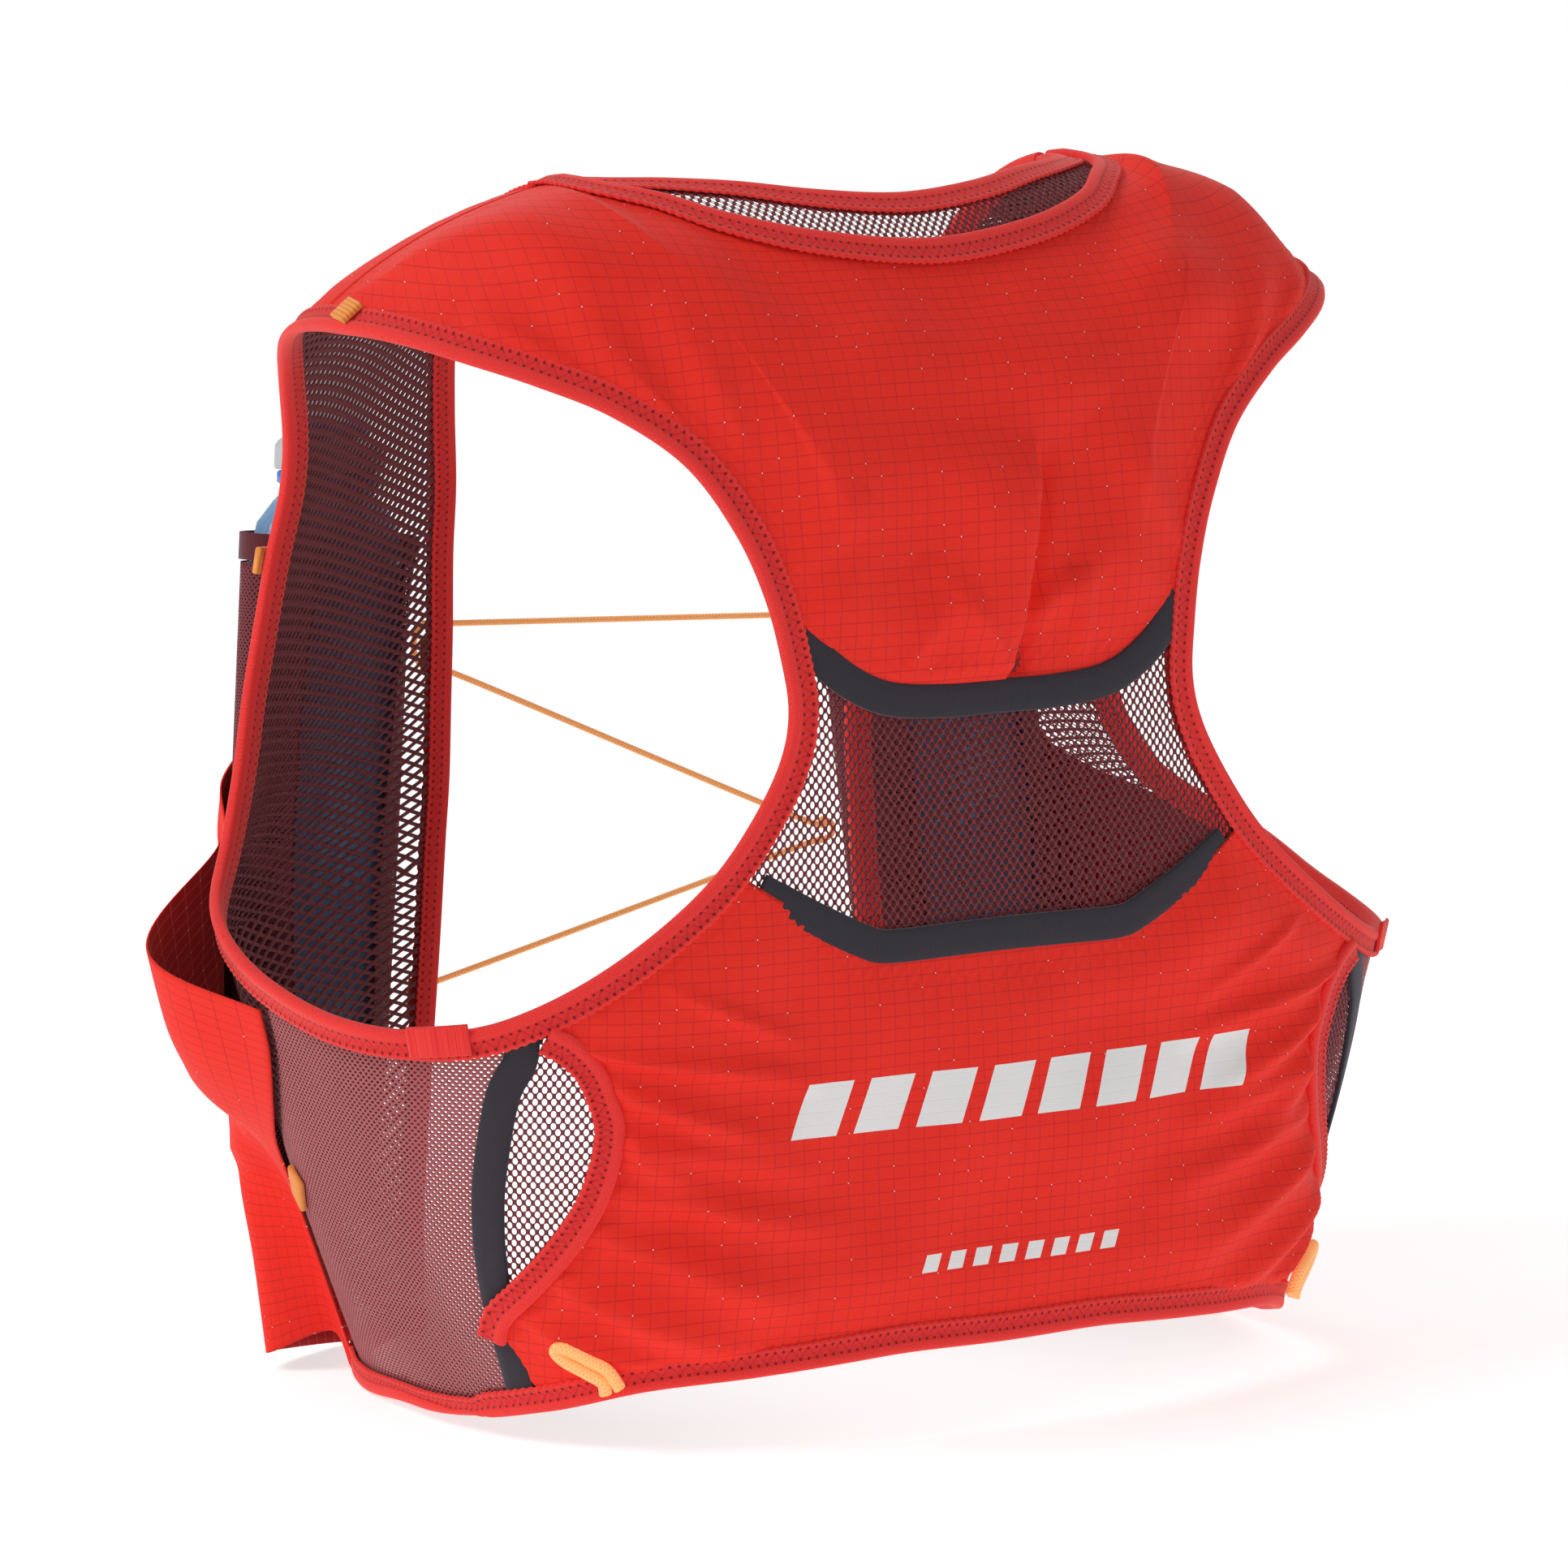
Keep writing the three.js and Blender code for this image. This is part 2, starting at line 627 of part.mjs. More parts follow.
// Lower pocket: from the side seam round the outside of the flask, its mouth gaping backwards.
const POCKET_CLEAR = 5;
const MOUTH_LOW = 118;
const MOUTH_RISE = 80;
const MOUTH_SWEEP = 1.1;
const POCKET_FLOOR = 5;
const POCKET_EASE = 2.4;
function lowerPocketRow(v, thick) {
  const count = 12;
  const row = [];
  for (let c = 0; c <= count; c += 1) {
    const u = c / count;
    const top = MOUTH_LOW + MOUTH_RISE * u ** MOUTH_SWEEP;
    const z = POCKET_FLOOR + (top - POCKET_FLOOR) * v;
    const s = (z - FLASK.foot[2]) / flaskAlong.z;
    const section = flaskSection(s);
    const seam = seamFront[nearest(seamFront, z)];
    const gape = 5.5 + 20 * Math.sin((Math.PI / 2) * Math.min(v * 1.2, 1)) ** 2 * (1 - 0.35 * (1 - v));
    const across = section.wide + SLEEVE_CLEAR + POCKET_CLEAR;
    const out = section.thick + SLEEVE_CLEAR + SLEEVE_THICK + POCKET_EASE - 1.7 * u;
    const seamPoint = onForm(seam.clone().setZ(z), 2.4 + thick);
    const corner = flaskPoint(s, across + thick, section.lean);
    const side = onForm(seamPoint.clone().lerp(corner, 0.42), gape + thick);
    const rise = (angle) => flaskPoint(
      s,
      (across + thick) * Math.cos(angle),
      section.lean + (out + thick) * Math.sin(angle),
    );
    const path = new THREE.CatmullRomCurve3(
      [seamPoint, side, corner.lerp(side, 0.12), rise(0.8), rise(1.57), rise(2.1)],
      false,
      "centripetal",
    );
    row.push(path.getPoint(u));
  }
  return row;
}
{
  const rows = 11;
  const wall = (thick) => {
    const grid = [];
    for (let r = 0; r <= rows; r += 1) grid.push(lowerPocketRow(r / rows, thick));
    return grid;
  };
  placePair("lower_front_pocket", slab(wall(0), wall(1)), DYE.red);
}

// ---- Small webbing pieces and cords ---------------------------------------------------------------

// A flat webbing tab lying on the form, from a start point, in a direction along the form.
function tab(start, end, width, layer, steps = 3) {
  const path = line(v3(start), v3(end), steps);
  return strip(path, -width / 2, width / 2, layer);
}

placePair("underarm_tab", tab([163, 61, 124], [170, 47, 124], 9, STITCHED), DYE.binding);
placePair("shoulder_webbing_loop", tab([163, 2, 316], [157, 3, 320], 8, STITCHED), DYE.orange);
placePair("chest_webbing_tab", tab([148, -79, 240], [141, -83, 240], 8, STITCHED), DYE.orange);
placePair("side_webbing_tab", tab([162, -26, 72], [157, -34, 62], 8, [1.9, 3.4]), DYE.orange);

// Cord anchors stitched over the front edges, two on each side.
const ANCHORS = {
  left: [[79, -101, 205], [82, -101, 97]],
  right: [[-79, -101, 204], [-79, -101, 136]],
};
const anchor = (at) => {
  const inward = -Math.sign(at[0]) * 3.4;
  return tab(
    [at[0] - inward, at[1], at[2]],
    [at[0] + inward, at[1], at[2]],
    12,
    STITCHED,
    2,
  );
};
place("closure_anchor_upper_left", anchor(ANCHORS.left[0]), DYE.orange);
place("closure_anchor_lower_left", anchor(ANCHORS.left[1]), DYE.orange);
place("closure_anchor_upper_right", anchor(ANCHORS.right[0]), DYE.orange);
place("closure_anchor_lower_right", anchor(ANCHORS.right[1]), DYE.orange);

const CLOSURE_RADIUS = 1.1;
place("closure_cord", tube([
  [-78, -116, 204], [-60, -116, 205], [60, -116, 211], [72, -116, 211.5], [76, -116, 208],
  [76, -116, 202], [72, -116, 198], [60, -116, 194.5], [-60, -116, 141], [-72, -116, 138.5],
  [-76, -116, 136.5], [-76, -116, 133.5], [-72, -116, 131.5], [-60, -116, 129.5],
  [60, -116, 101.5], [80, -116, 97.5],
], CLOSURE_RADIUS, 64, 8), DYE.orange);

// Pull loops at the hem: a flattened hairpin of cord lying above the hem binding.
const HEM_LOOP_RADIUS = 1.9;
const HEM_LOOP_HEIGHT = 7;
const HEM_LOOP = [
  [116, 73, 14], [119, 71.5, 20], [123, 69, 23], [127, 66.5, 25.5], [130, 64.5, 26.5],
  [131.5, 63.5, 24.5], [129, 65, 21.5], [124.5, 68, 18.5], [120.5, 70.5, 15.5], [120, 71, 11],
];
placePair("hem_cord_loop", tube(
  HEM_LOOP.map((p) => onForm(v3(p), HEM_LOOP_HEIGHT).toArray()),
  HEM_LOOP_RADIUS,
  18,
  8,
), DYE.orange);

export default vest;
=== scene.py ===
"""Running hydration vest: stretch panels, mesh lining, folded bindings and soft flasks built around
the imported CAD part. Shapes are worked out in millimetres on one torso form and placed in metres."""
import math

import bpy
import numpy as np
from mathutils import Matrix, Vector


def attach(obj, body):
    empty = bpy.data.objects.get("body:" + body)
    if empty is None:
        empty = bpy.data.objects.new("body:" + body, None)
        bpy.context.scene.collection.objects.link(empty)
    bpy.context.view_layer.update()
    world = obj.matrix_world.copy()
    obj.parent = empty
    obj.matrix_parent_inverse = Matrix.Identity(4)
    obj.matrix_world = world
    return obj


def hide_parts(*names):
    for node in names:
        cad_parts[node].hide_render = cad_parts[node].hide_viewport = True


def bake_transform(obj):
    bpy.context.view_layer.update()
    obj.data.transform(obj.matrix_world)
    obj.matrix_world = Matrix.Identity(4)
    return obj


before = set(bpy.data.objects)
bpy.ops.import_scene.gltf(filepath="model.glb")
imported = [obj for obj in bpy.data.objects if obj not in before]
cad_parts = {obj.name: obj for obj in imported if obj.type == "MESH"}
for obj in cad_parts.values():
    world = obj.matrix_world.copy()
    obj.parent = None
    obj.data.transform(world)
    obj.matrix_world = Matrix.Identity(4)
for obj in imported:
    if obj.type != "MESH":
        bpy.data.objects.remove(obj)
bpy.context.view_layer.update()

# The finished part stands on z = 0, centred on the origin: the torso form is moved by this much.
SHIFT = np.array([0.0, 17.265, 6.74])


def to_frame(points):
    """Torso-form millimetres to the part's own metres; the front shoulders sag a little."""
    points = np.array(points, float)
    ahead = np.clip((-points[..., 1] - 4) / 40, 0, 1)
    high = np.clip((points[..., 2] - 300) / 40, 0, 1)
    points[..., 2] -= 4.5 * ahead * high
    return (points + SHIFT) * 0.001


# ---- Camera, floor and light ---------------------------------------------------------------------

TURN = math.radians(32.0)
LIFT = math.radians(8.9)
DISTANCE = 2.5
AIM = np.array([0.01018, 0.01044, 0.17774])
SENSOR = 36.0
LENS = 190.14
SKY_FOR_LIGHT = 0.36
FLOOR_REACH = 4.0
FLOOR_FADE = (0.35, 1.1)


def studio():
    """Camera behind the wearer's left shoulder, one floor and three large soft lamps."""
    towards = np.array([
        math.sin(TURN) * math.cos(LIFT), math.cos(TURN) * math.cos(LIFT), math.sin(LIFT),
    ])
    right = np.array([-math.cos(TURN), math.sin(TURN), 0.0])
    up = np.cross(towards, right)
    data = bpy.data.cameras.new("camera")
    data.lens = LENS
    data.sensor_width = SENSOR
    camera = bpy.data.objects.new("camera", data)
    place = AIM + towards * DISTANCE
    axes = Matrix(np.column_stack([right, up, towards]).tolist()).to_4x4()
    camera.matrix_world = Matrix.Translation(Vector(place)) @ axes
    bpy.context.collection.objects.link(camera)
    bpy.context.scene.camera = camera

    lamps = [
        ("key", 1.1, 27.0, right * -1.7 + up * 1.5 + towards * 0.9),
        ("fill", 2.2, 5.0, right * 1.8 + up * 0.7 + towards * 1.2),
        ("front", 2.0, 14.0, towards * -1.8 + up * 1.6),
    ]
    for name, side, power, offset in lamps:
        lamp = bpy.data.lights.new(name, "AREA")
        lamp.shape = "SQUARE"
        lamp.size = side
        lamp.energy = power
        item = bpy.data.objects.new(name, lamp)
        spot = AIM + offset
        item.location = Vector(spot)
        item.rotation_euler = (Vector(AIM) - Vector(spot)).to_track_quat("-Z", "Y").to_euler()
        bpy.context.collection.objects.link(item)

    world = bpy.data.worlds.new("studio")
    world.use_nodes = True
    tree = world.node_tree
    sky = tree.nodes["Background"]
    sky.inputs["Color"].default_value = (1, 1, 1, 1)
    path = tree.nodes.new("ShaderNodeLightPath")
    level = tree.nodes.new("ShaderNodeMapRange")
    level.inputs["To Min"].default_value = SKY_FOR_LIGHT
    level.inputs["To Max"].default_value = 1.0
    tree.links.new(path.outputs["Is Camera Ray"], level.inputs["Value"])
    tree.links.new(level.outputs["Result"], sky.inputs["Strength"])
    bpy.context.scene.world = world
    bpy.context.scene.view_settings.view_transform = "Standard"

    mesh = bpy.data.meshes.new("floor")
    corners = [(FLOOR_REACH * x, FLOOR_REACH * y, 0) for x, y in ((-1, -1), (1, -1), (1, 1), (-1, 1))]
    mesh.from_pydata(corners, [], [(0, 1, 2, 3)])
    floor = bpy.data.objects.new("floor", mesh)
    bpy.context.collection.objects.link(floor)
    paint = bpy.data.materials.new("pale_floor")
    paint.use_nodes = True
    shader = paint.node_tree.nodes["Principled BSDF"]
    shader.inputs["Roughness"].default_value = 0.9
    shader.inputs["Emission Color"].default_value = (1, 1, 1, 1)
    tree = paint.node_tree
    place = tree.nodes.new("ShaderNodeTexCoord")
    far = tree.nodes.new("ShaderNodeVectorMath")
    far.operation = "LENGTH"
    tree.links.new(place.outputs["Object"], far.inputs[0])
    for name, near_value, far_value in (
        ("Base Color", 0.7, 0.0), ("Emission Strength", 0.62, 1.0),
    ):
        fade = tree.nodes.new("ShaderNodeMapRange")
        fade.interpolation_type = "SMOOTHSTEP"
        fade.inputs["From Min"].default_value = FLOOR_FADE[0]
        fade.inputs["From Max"].default_value = FLOOR_FADE[1]
        fade.inputs["To Min"].default_value = near_value
        fade.inputs["To Max"].default_value = far_value
        tree.links.new(far.outputs["Value"], fade.inputs["Value"])
        tree.links.new(fade.outputs["Result"], shader.inputs[name])
    mesh.materials.append(paint)


studio()

# ---- Torso form ----------------------------------------------------------------------------------

HEM_HALF_WIDTH = 140.0
WIDTH_GAIN = 0.42
WIDTH_EASE = 0.0004
HALF_DEPTH = 102.0
CENTRE_Y = -4.0
CROWN = 362.0
ROUNDNESS = 2.6
DOMENESS = 4.0
CORE = np.array([0.0, CENTRE_Y, 150.0])


def half_width(z):
    """Half the form's width: a shallow parabola in height."""
    z = np.clip(z, 0, CROWN)
    return HEM_HALF_WIDTH + WIDTH_GAIN * z - WIDTH_EASE * z * z


def field(p):
    """Below zero inside the form: |x/a|^n + |y/b|^n + (z/h)^4 - 1."""
    across = np.abs(p[..., 0] / half_width(p[..., 2])) ** ROUNDNESS
    deep = np.abs((p[..., 1] - CENTRE_Y) / HALF_DEPTH) ** ROUNDNESS
    high = (np.clip(p[..., 2], 0, None) / CROWN) ** DOMENESS
    return across + deep + high - 1


def form_normal(p):
    """Unit slope of the field, from central differences."""
    step = 0.5
    slope = []
    for axis in np.eye(3):
        slope.append(field(p + axis * step) - field(p - axis * step))
    slope = np.stack(slope, -1)
    return slope / np.linalg.norm(slope, axis=-1, keepdims=True)


def on_form(points, height=0.0):
    """Slides points along rays from the core onto the form, then out along its normal."""
    reach = np.asarray(points, float) - CORE
    near = np.full(reach.shape[:-1], 0.2)
    far = np.full(reach.shape[:-1], 3.0)
    for _ in range(36):
        middle = (near + far) / 2
        inside = field(CORE + reach * middle[..., None]) < 0
        near = np.where(inside, middle, near)
        far = np.where(inside, far, middle)
    landed = CORE + reach * near[..., None]
    return landed + form_normal(landed) * np.asarray(height, float)[..., None]


def catmull_rom(a, b, c, d, t):
    """Point at share t between b and c of a curve through a, b, c and d."""
    return 0.5 * (
        2 * b + (c - a) * t + (2 * a - 5 * b + 4 * c - d) * t**2 + (3 * b - a - 3 * c + d) * t**3
    )


def smooth_line(points, count, closed=False):
    """Catmull-Rom curve through the points, resampled at even lengths."""
    p = np.asarray(points, float)
    if closed:
        p = np.vstack([p[-1], p, p[0], p[1]])
    else:
        p = np.vstack([2 * p[0] - p[1], p, 2 * p[-1] - p[-2]])
    t = np.linspace(0, 1, 24, endpoint=False)[:, None]
    parts = []
    for knots in zip(p[:-3], p[1:-2], p[2:-1], p[3:]):
        parts.append(catmull_rom(*knots, t))
    parts.append(p[-2][None])
    return evenly(np.vstack(parts), count)


def running(steps, axis):
    """Running total of step lengths along an axis, starting from zero."""
    start = np.zeros_like(np.take(steps, [0], axis))
    return np.concatenate([start, np.cumsum(steps, axis)], axis)


def lengths(line):
    """Running length along a polyline."""
    return running(np.linalg.norm(np.diff(line, axis=0), axis=1), 0)


def evenly(line, count):
    """The same line with count steps of equal length."""
    run = lengths(line)
    want = np.linspace(0, run[-1], count + 1)
    return np.stack([np.interp(want, run, line[:, k]) for k in range(3)], 1)


def lay(points, count, centred=False):
    """A smooth curve laid on the form; a centred one leaves the middle of the body level."""
    if not centred:
        return evenly(on_form(smooth_line(points, count * 2)), count)
    x, y, z = points[1]
    line = smooth_line([(-x, y, z)] + list(points), count * 2)
    line = line[line[:, 0] > 0.3]
    line = np.vstack([[points[0]], line])
    return evenly(on_form(line), count)


def sideways(line, closed=False):
    """Unit vectors across a curve in the form's surface: normal times direction."""
    if closed:
        along = np.roll(line, -1, 0) - np.roll(line, 1, 0)
    else:
        along = np.gradient(line, axis=0)
    side = np.cross(form_normal(line), along)
    return side / np.linalg.norm(side, axis=1, keepdims=True)


def shifted(line, distance):
    """A curve moved sideways on the form."""
    return on_form(line + sideways(line) * distance)


def cut(line, start, end):
    """The stretch of a curve between the places nearest two points."""
    def nearest(target):
        return int(np.argmin(np.linalg.norm(line - np.asarray(target, float), axis=1)))
    a, b = nearest(start), nearest(end)
    return line[a:b + 1] if a <= b else line[b:a + 1][::-1]


def filled(bottom, top, left, right, columns, rows):
    """Coons patch: ruled one way, plus ruled the other way, less the bilinear corners."""
    low, high = evenly(bottom, columns), evenly(top, columns)
    start, end = evenly(left, rows), evenly(right, rows)
    u = np.linspace(0, 1, columns + 1)[None, :, None]
    v = np.linspace(0, 1, rows + 1)[:, None, None]
    ruled = low[None] * (1 - v) + high[None] * v + start[:, None] * (1 - u) + end[:, None] * u
    corners = (
        (low[0] * (1 - u) + low[-1] * u) * (1 - v) + (high[0] * (1 - u) + high[-1] * u) * v
    )
    return ruled - corners


def across_back(grid):
    """Joins a left half grid, whose last column is the middle, to its mirror image."""
    other = grid[:, :-1][:, ::-1] * np.array([-1, 1, 1])
    return np.concatenate([grid, other], 1)


# Unrolled cloth coordinates: arc length round the form from the middle of the back, and up it.
ARC_Z = np.linspace(-10, 361, 60)
ARC_TURN = np.linspace(0, math.pi, 181)


def unroll_tables():
    """Arc length of level sections against the turn from +Y, and arc length up the back."""
    z = ARC_Z[:, None]
    sine, cosine = np.sin(ARC_TURN)[None], np.cos(ARC_TURN)[None]
    squeeze = np.clip(1 - (np.clip(z, 0, None) / CROWN) ** DOMENESS, 1e-6, None) ** (1 / ROUNDNESS)
    width = half_width(z)
    power = np.abs(sine / width) ** ROUNDNESS + np.abs(cosine / HALF_DEPTH) ** ROUNDNESS
    radius = squeeze * power ** (-1 / ROUNDNESS)
    x, y = radius * sine, radius * cosine
    round_it = running(np.hypot(np.diff(x, axis=1), np.diff(y, axis=1)), 1)
    up_it = running(np.hypot(np.diff(ARC_Z), np.diff(y[:, 0])), 0)
    return round_it, up_it


ROUND_IT, UP_IT = unroll_tables()


def unrolled(points):
    """Cloth coordinates in millimetres of points near the form."""
    flat = points.reshape(-1, 3)
    turn = np.arctan2(np.abs(flat[:, 0]), flat[:, 1] - CENTRE_Y)
    row = np.clip((flat[:, 2] - ARC_Z[0]) / (ARC_Z[1] - ARC_Z[0]), 0, len(ARC_Z) - 1.001)
    column = np.clip(turn / (ARC_TURN[1] - ARC_TURN[0]), 0, len(ARC_TURN) - 1.001)
    r, c = row.astype(int), column.astype(int)
    fr, fc = row - r, column - c
    arc = (
        ROUND_IT[r, c] * (1 - fr) * (1 - fc) + ROUND_IT[r + 1, c] * fr * (1 - fc)
        + ROUND_IT[r, c + 1] * (1 - fr) * fc + ROUND_IT[r + 1, c + 1] * fr * fc
    )
    up = np.interp(flat[:, 2], ARC_Z, UP_IT)
    return np.stack([np.sign(flat[:, 0]) * arc, up], 1).reshape(points.shape[:-1] + (2,))


# ---- Edge curves of the wearer's left half -------------------------------------------------------

ARMHOLE = [
    (166, -15, 316), (166, 4, 316), (160, 26, 314), (150, 44, 311), (136, 58, 307),
    (118, 70, 300), (100, 80, 287), (87, 87, 267), (79, 91, 247), (75, 94, 228), (73, 95, 212),
    (76, 95, 197), (85, 94, 180), (97, 92, 164), (112, 88, 150), (130, 82, 137), (148, 74, 127),
    (163, 64, 121), (173, 48, 120), (181, 30, 121), (186, 10, 124), (187, -13, 129.5),
    (183, -38, 139), (175, -58, 148), (166, -69, 159), (159, -76, 178), (154, -79, 202),
    (150, -80, 222), (146, -79, 242), (143, -77, 262), (145, -71, 280), (152, -58, 298),
    (161, -38, 311),
]
armhole = on_form(smooth_line(ARMHOLE, 400, closed=True))
UNDERARM = (187, -13, 129.5)
neck_inner = lay([
    (0, 40, 355), (28, 36, 356), (50, 27, 357), (66, 18, 357), (78, 6, 356), (84, -14, 355),
], 120, centred=True)
neck_outer = lay([
    (0, 55, 341), (36, 51, 344), (61, 42, 349), (74, 30, 352.5), (84, 14, 353), (86, -14, 354),
], 120, centred=True)
front_edge = lay([
    (84, -14, 355), (83, -40, 346), (82, -62, 328), (82, -78, 304), (80, -88, 285),
    (77, -95, 262), (76, -99, 238), (75, -102, 215), (75, -104, 193), (75, -105, 168),
    (76, -105, 148), (78, -105, 120), (80, -104, 95), (82, -100, 60), (85, -97, 30),
    (86, -92.5, -4.6),
], 260)
hem = lay([
    (0, 99, 17), (41, 98, 16.5), (80, 90, 14.5), (110, 76, 11), (128, 54, 5), (137, 30, -1),
    (140.5, 7, -4.5), (139.5, -20, -5), (130, -56, -5), (115, -76, -5), (99, -88, -5),
    (86, -92.5, -4.6),
], 320, centred=True)
side_seam = lay([
    (187, -13, 129.5), (184, -14, 118), (178, -17, 103), (168, -30, 84), (155, -52, 62),
    (144, -57, 38), (136, -58, 18), (129.6, -56.8, -5),
], 120)
side_band = lay([
    (152, 73, 122), (152.5, 72, 111), (155, 67, 100), (155, 61, 80), (153.5, 57, 66),
    (150.5, 53.5, 50), (146, 51, 33), (140.5, 50, 15), (137, 49, 5),
], 140)
pocket_edge = lay([
    (143, 77, 122), (137, 80, 118), (131, 83, 110), (127, 84, 101), (125, 85, 90),
    (125.5, 83, 77), (129, 79, 62.5), (134, 71, 49), (139, 62, 38), (143, 54, 29), (144, 51, 21),
], 130)
upper_band_edge = lay([
    (0, 98, 218), (20, 98, 218), (38, 97, 219.5), (50, 95, 224.5), (59, 92, 232), (64, 90, 238),
], 90, centred=True)
lower_band_edge = lay([
    (0, 99, 145), (20, 99, 144.8), (40, 98, 144.6), (47, 97.5, 146.5), (60, 95.8, 153),
    (72, 94, 159.8), (79, 93, 163.8),
], 100, centred=True)
MIRROR = np.array([-1.0, 1.0, 1.0])
BACK = "back"


# ---- Meshes --------------------------------------------------------------------------------------

def build(name, points, faces, cloth, material, smooth=True):
    """Mesh object from torso-form points, faces and cloth coordinates, all in millimetres."""
    mesh = bpy.data.meshes.new(name)
    mesh.from_pydata(to_frame(points).tolist(), [], [tuple(f) for f in faces])
    layer = mesh.uv_layers.new(name="cloth")
    corner = np.empty(len(mesh.loops), int)
    mesh.loops.foreach_get("vertex_index", corner)
    layer.data.foreach_set("uv", (np.asarray(cloth)[corner] * 0.001).astype(np.float32).ravel())
    if smooth:
        mesh.polygons.foreach_set("use_smooth", np.ones(len(mesh.polygons), bool))
    mesh.materials.append(material)
    item = bpy.data.objects.new(name, mesh)
    bpy.context.collection.objects.link(item)
    return item


def grid_faces(rows, columns, offset=0, flip=False, wrap_rows=False, wrap_columns=False):
    """Quads of a grid stored row by row."""
    r = np.arange(rows if wrap_rows else rows - 1)
    c = np.arange(columns if wrap_columns else columns - 1)
    r, c = np.meshgrid(r, c, indexing="ij")
    a = r * columns + c
    b = r * columns + (c + 1) % columns
    d = ((r + 1) % rows) * columns + c
    e = ((r + 1) % rows) * columns + (c + 1) % columns
    quads = np.stack([a, b, e, d] if not flip else [a, d, e, b], -1).reshape(-1, 4)
    return (quads + offset).tolist()


def sheet_between(name, inner, outer, cloth, material, inside=None):
    """Closed sheet of cloth: an inner grid, an outer grid and a wall round the four edges."""
    rows, columns = inner.shape[:2]
    half = rows * columns
    index = np.arange(half).reshape(rows, columns)
    rim = np.concatenate([
        index[0, :-1], index[:-1, -1], index[-1, 1:][::-1], index[1:, 0][::-1],
    ])
    following = np.roll(rim, -1)
    wall = np.stack([rim, following, following + half, rim + half], 1).tolist()
    faces = grid_faces(rows, columns, 0, flip=True) + grid_faces(rows, columns, half) + wall
    points = np.concatenate([inner.reshape(-1, 3), outer.reshape(-1, 3)])
    uv = np.concatenate([cloth.reshape(-1, 2)] * 2)
    item = build(name, points, faces, uv, material)
    if inside:
        item.data.materials.append(inside)
        which = np.zeros(len(faces), int)
        which[:(rows - 1) * (columns - 1)] = 1
        item.data.polygons.foreach_set("material_index", which)
    face_out(item)
    return item


def face_out(item):
    """Turns every face round when the closed mesh holds a negative volume."""
    mesh = item.data
    mesh.calc_loop_triangles()
    count = len(mesh.loop_triangles)
    corner = np.empty(count * 3, int)
    mesh.loop_triangles.foreach_get("vertices", corner)
    place = np.empty(len(mesh.vertices) * 3)
    mesh.vertices.foreach_get("co", place)
    a, b, c = place.reshape(-1, 3)[corner.reshape(-1, 3)].transpose(1, 0, 2)
    if (a * np.cross(b, c)).sum() < 0:
        mesh.flip_normals()


def cloth_area(item):
    """Area of one face of a closed sheet, in square metres."""
    faces = item.data.polygons
    area = np.empty(len(faces))
    faces.foreach_get("area", area)
    return float(area.sum()) / 2


def declare_cloth(item):
    """Works out a panel's flat size from the drawn area and the span of its cloth coordinates; the result
    is not kept.
    """
    area = cloth_area(item)
    uv = np.empty(len(item.data.loops) * 2)
    item.data.uv_layers["cloth"].data.foreach_get("uv", uv)
    span = np.ptp(uv.reshape(-1, 2), axis=0)
    width, length = (max(float(s), 0.011) for s in span)
    if area > width * length:
        width = area / length


def placed(piece, node, body=BACK, rests_on=()):
    """Hides the CAD node a piece stands for and parents the piece to its body; for cloth, works out its
    flat size without keeping it.
    """
    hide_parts(node)
    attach(piece, body)
    if rests_on:
        declare_cloth(piece)


def mirrored(item, name):
    """A copy of a piece on the wearer's other side."""
    mesh = item.data.copy()
    mesh.name = name
    place = np.empty(len(mesh.vertices) * 3)
    mesh.vertices.foreach_get("co", place)
    place = place.reshape(-1, 3) * MIRROR
    mesh.vertices.foreach_set("co", place.ravel())
    mesh.flip_normals()
    copy = bpy.data.objects.new(name, mesh)
    bpy.context.collection.objects.link(copy)
    return copy


# ---- Shader building -----------------------------------------------------------------------------

class Sums:
    """Short names for maths nodes inside one node tree."""

    def __init__(self, tree):
        self.tree = tree

    def math(self, operation, *values):
        node = self.tree.nodes.new("ShaderNodeMath")
        node.operation = operation
        for socket, value in zip(node.inputs, values):
            self.feed(socket, value)
        return node.outputs[0]

    def times(self, a, b):
        return self.math("MULTIPLY", a, b)

    def over(self, a, b):
        return self.math("DIVIDE", a, b)

    def plus(self, a, b):
        return self.math("ADD", a, b)

    def minus(self, a, b):
        return self.math("SUBTRACT", a, b)

    def size(self, a):
        return self.math("ABSOLUTE", a)

    def feed(self, socket, value):
        if isinstance(value, bpy.types.NodeSocket):
            self.tree.links.new(value, socket)
        else:
            socket.default_value = value

    def between(self, value, low, high, to_low=0.0, to_high=1.0):
        node = self.tree.nodes.new("ShaderNodeMapRange")
        node.interpolation_type = "SMOOTHSTEP"
        for key, given in zip(
            ("Value", "From Min", "From Max", "To Min", "To Max"),
            (value, low, high, to_low, to_high),
        ):
            self.feed(node.inputs[key], given)
        return node.outputs["Result"]

    def split(self, vector):
        node = self.tree.nodes.new("ShaderNodeSeparateXYZ")
        self.tree.links.new(vector, node.inputs[0])
        return node.outputs[0], node.outputs[1]

    def blend(self, share, a, b):
        node = self.tree.nodes.new("ShaderNodeMix")
        node.data_type = "RGBA"
        self.feed(node.inputs["Factor"], share)
        self.feed(node.inputs["A"], a)
        self.feed(node.inputs["B"], b)
        return node.outputs["Result"]

    def noise(self, vector, scale, detail=2.0):
        node = self.tree.nodes.new("ShaderNodeTexNoise")
        self.tree.links.new(vector, node.inputs["Vector"])
        node.inputs["Scale"].default_value = scale
        node.inputs["Detail"].default_value = detail
        return node.outputs["Fac"]


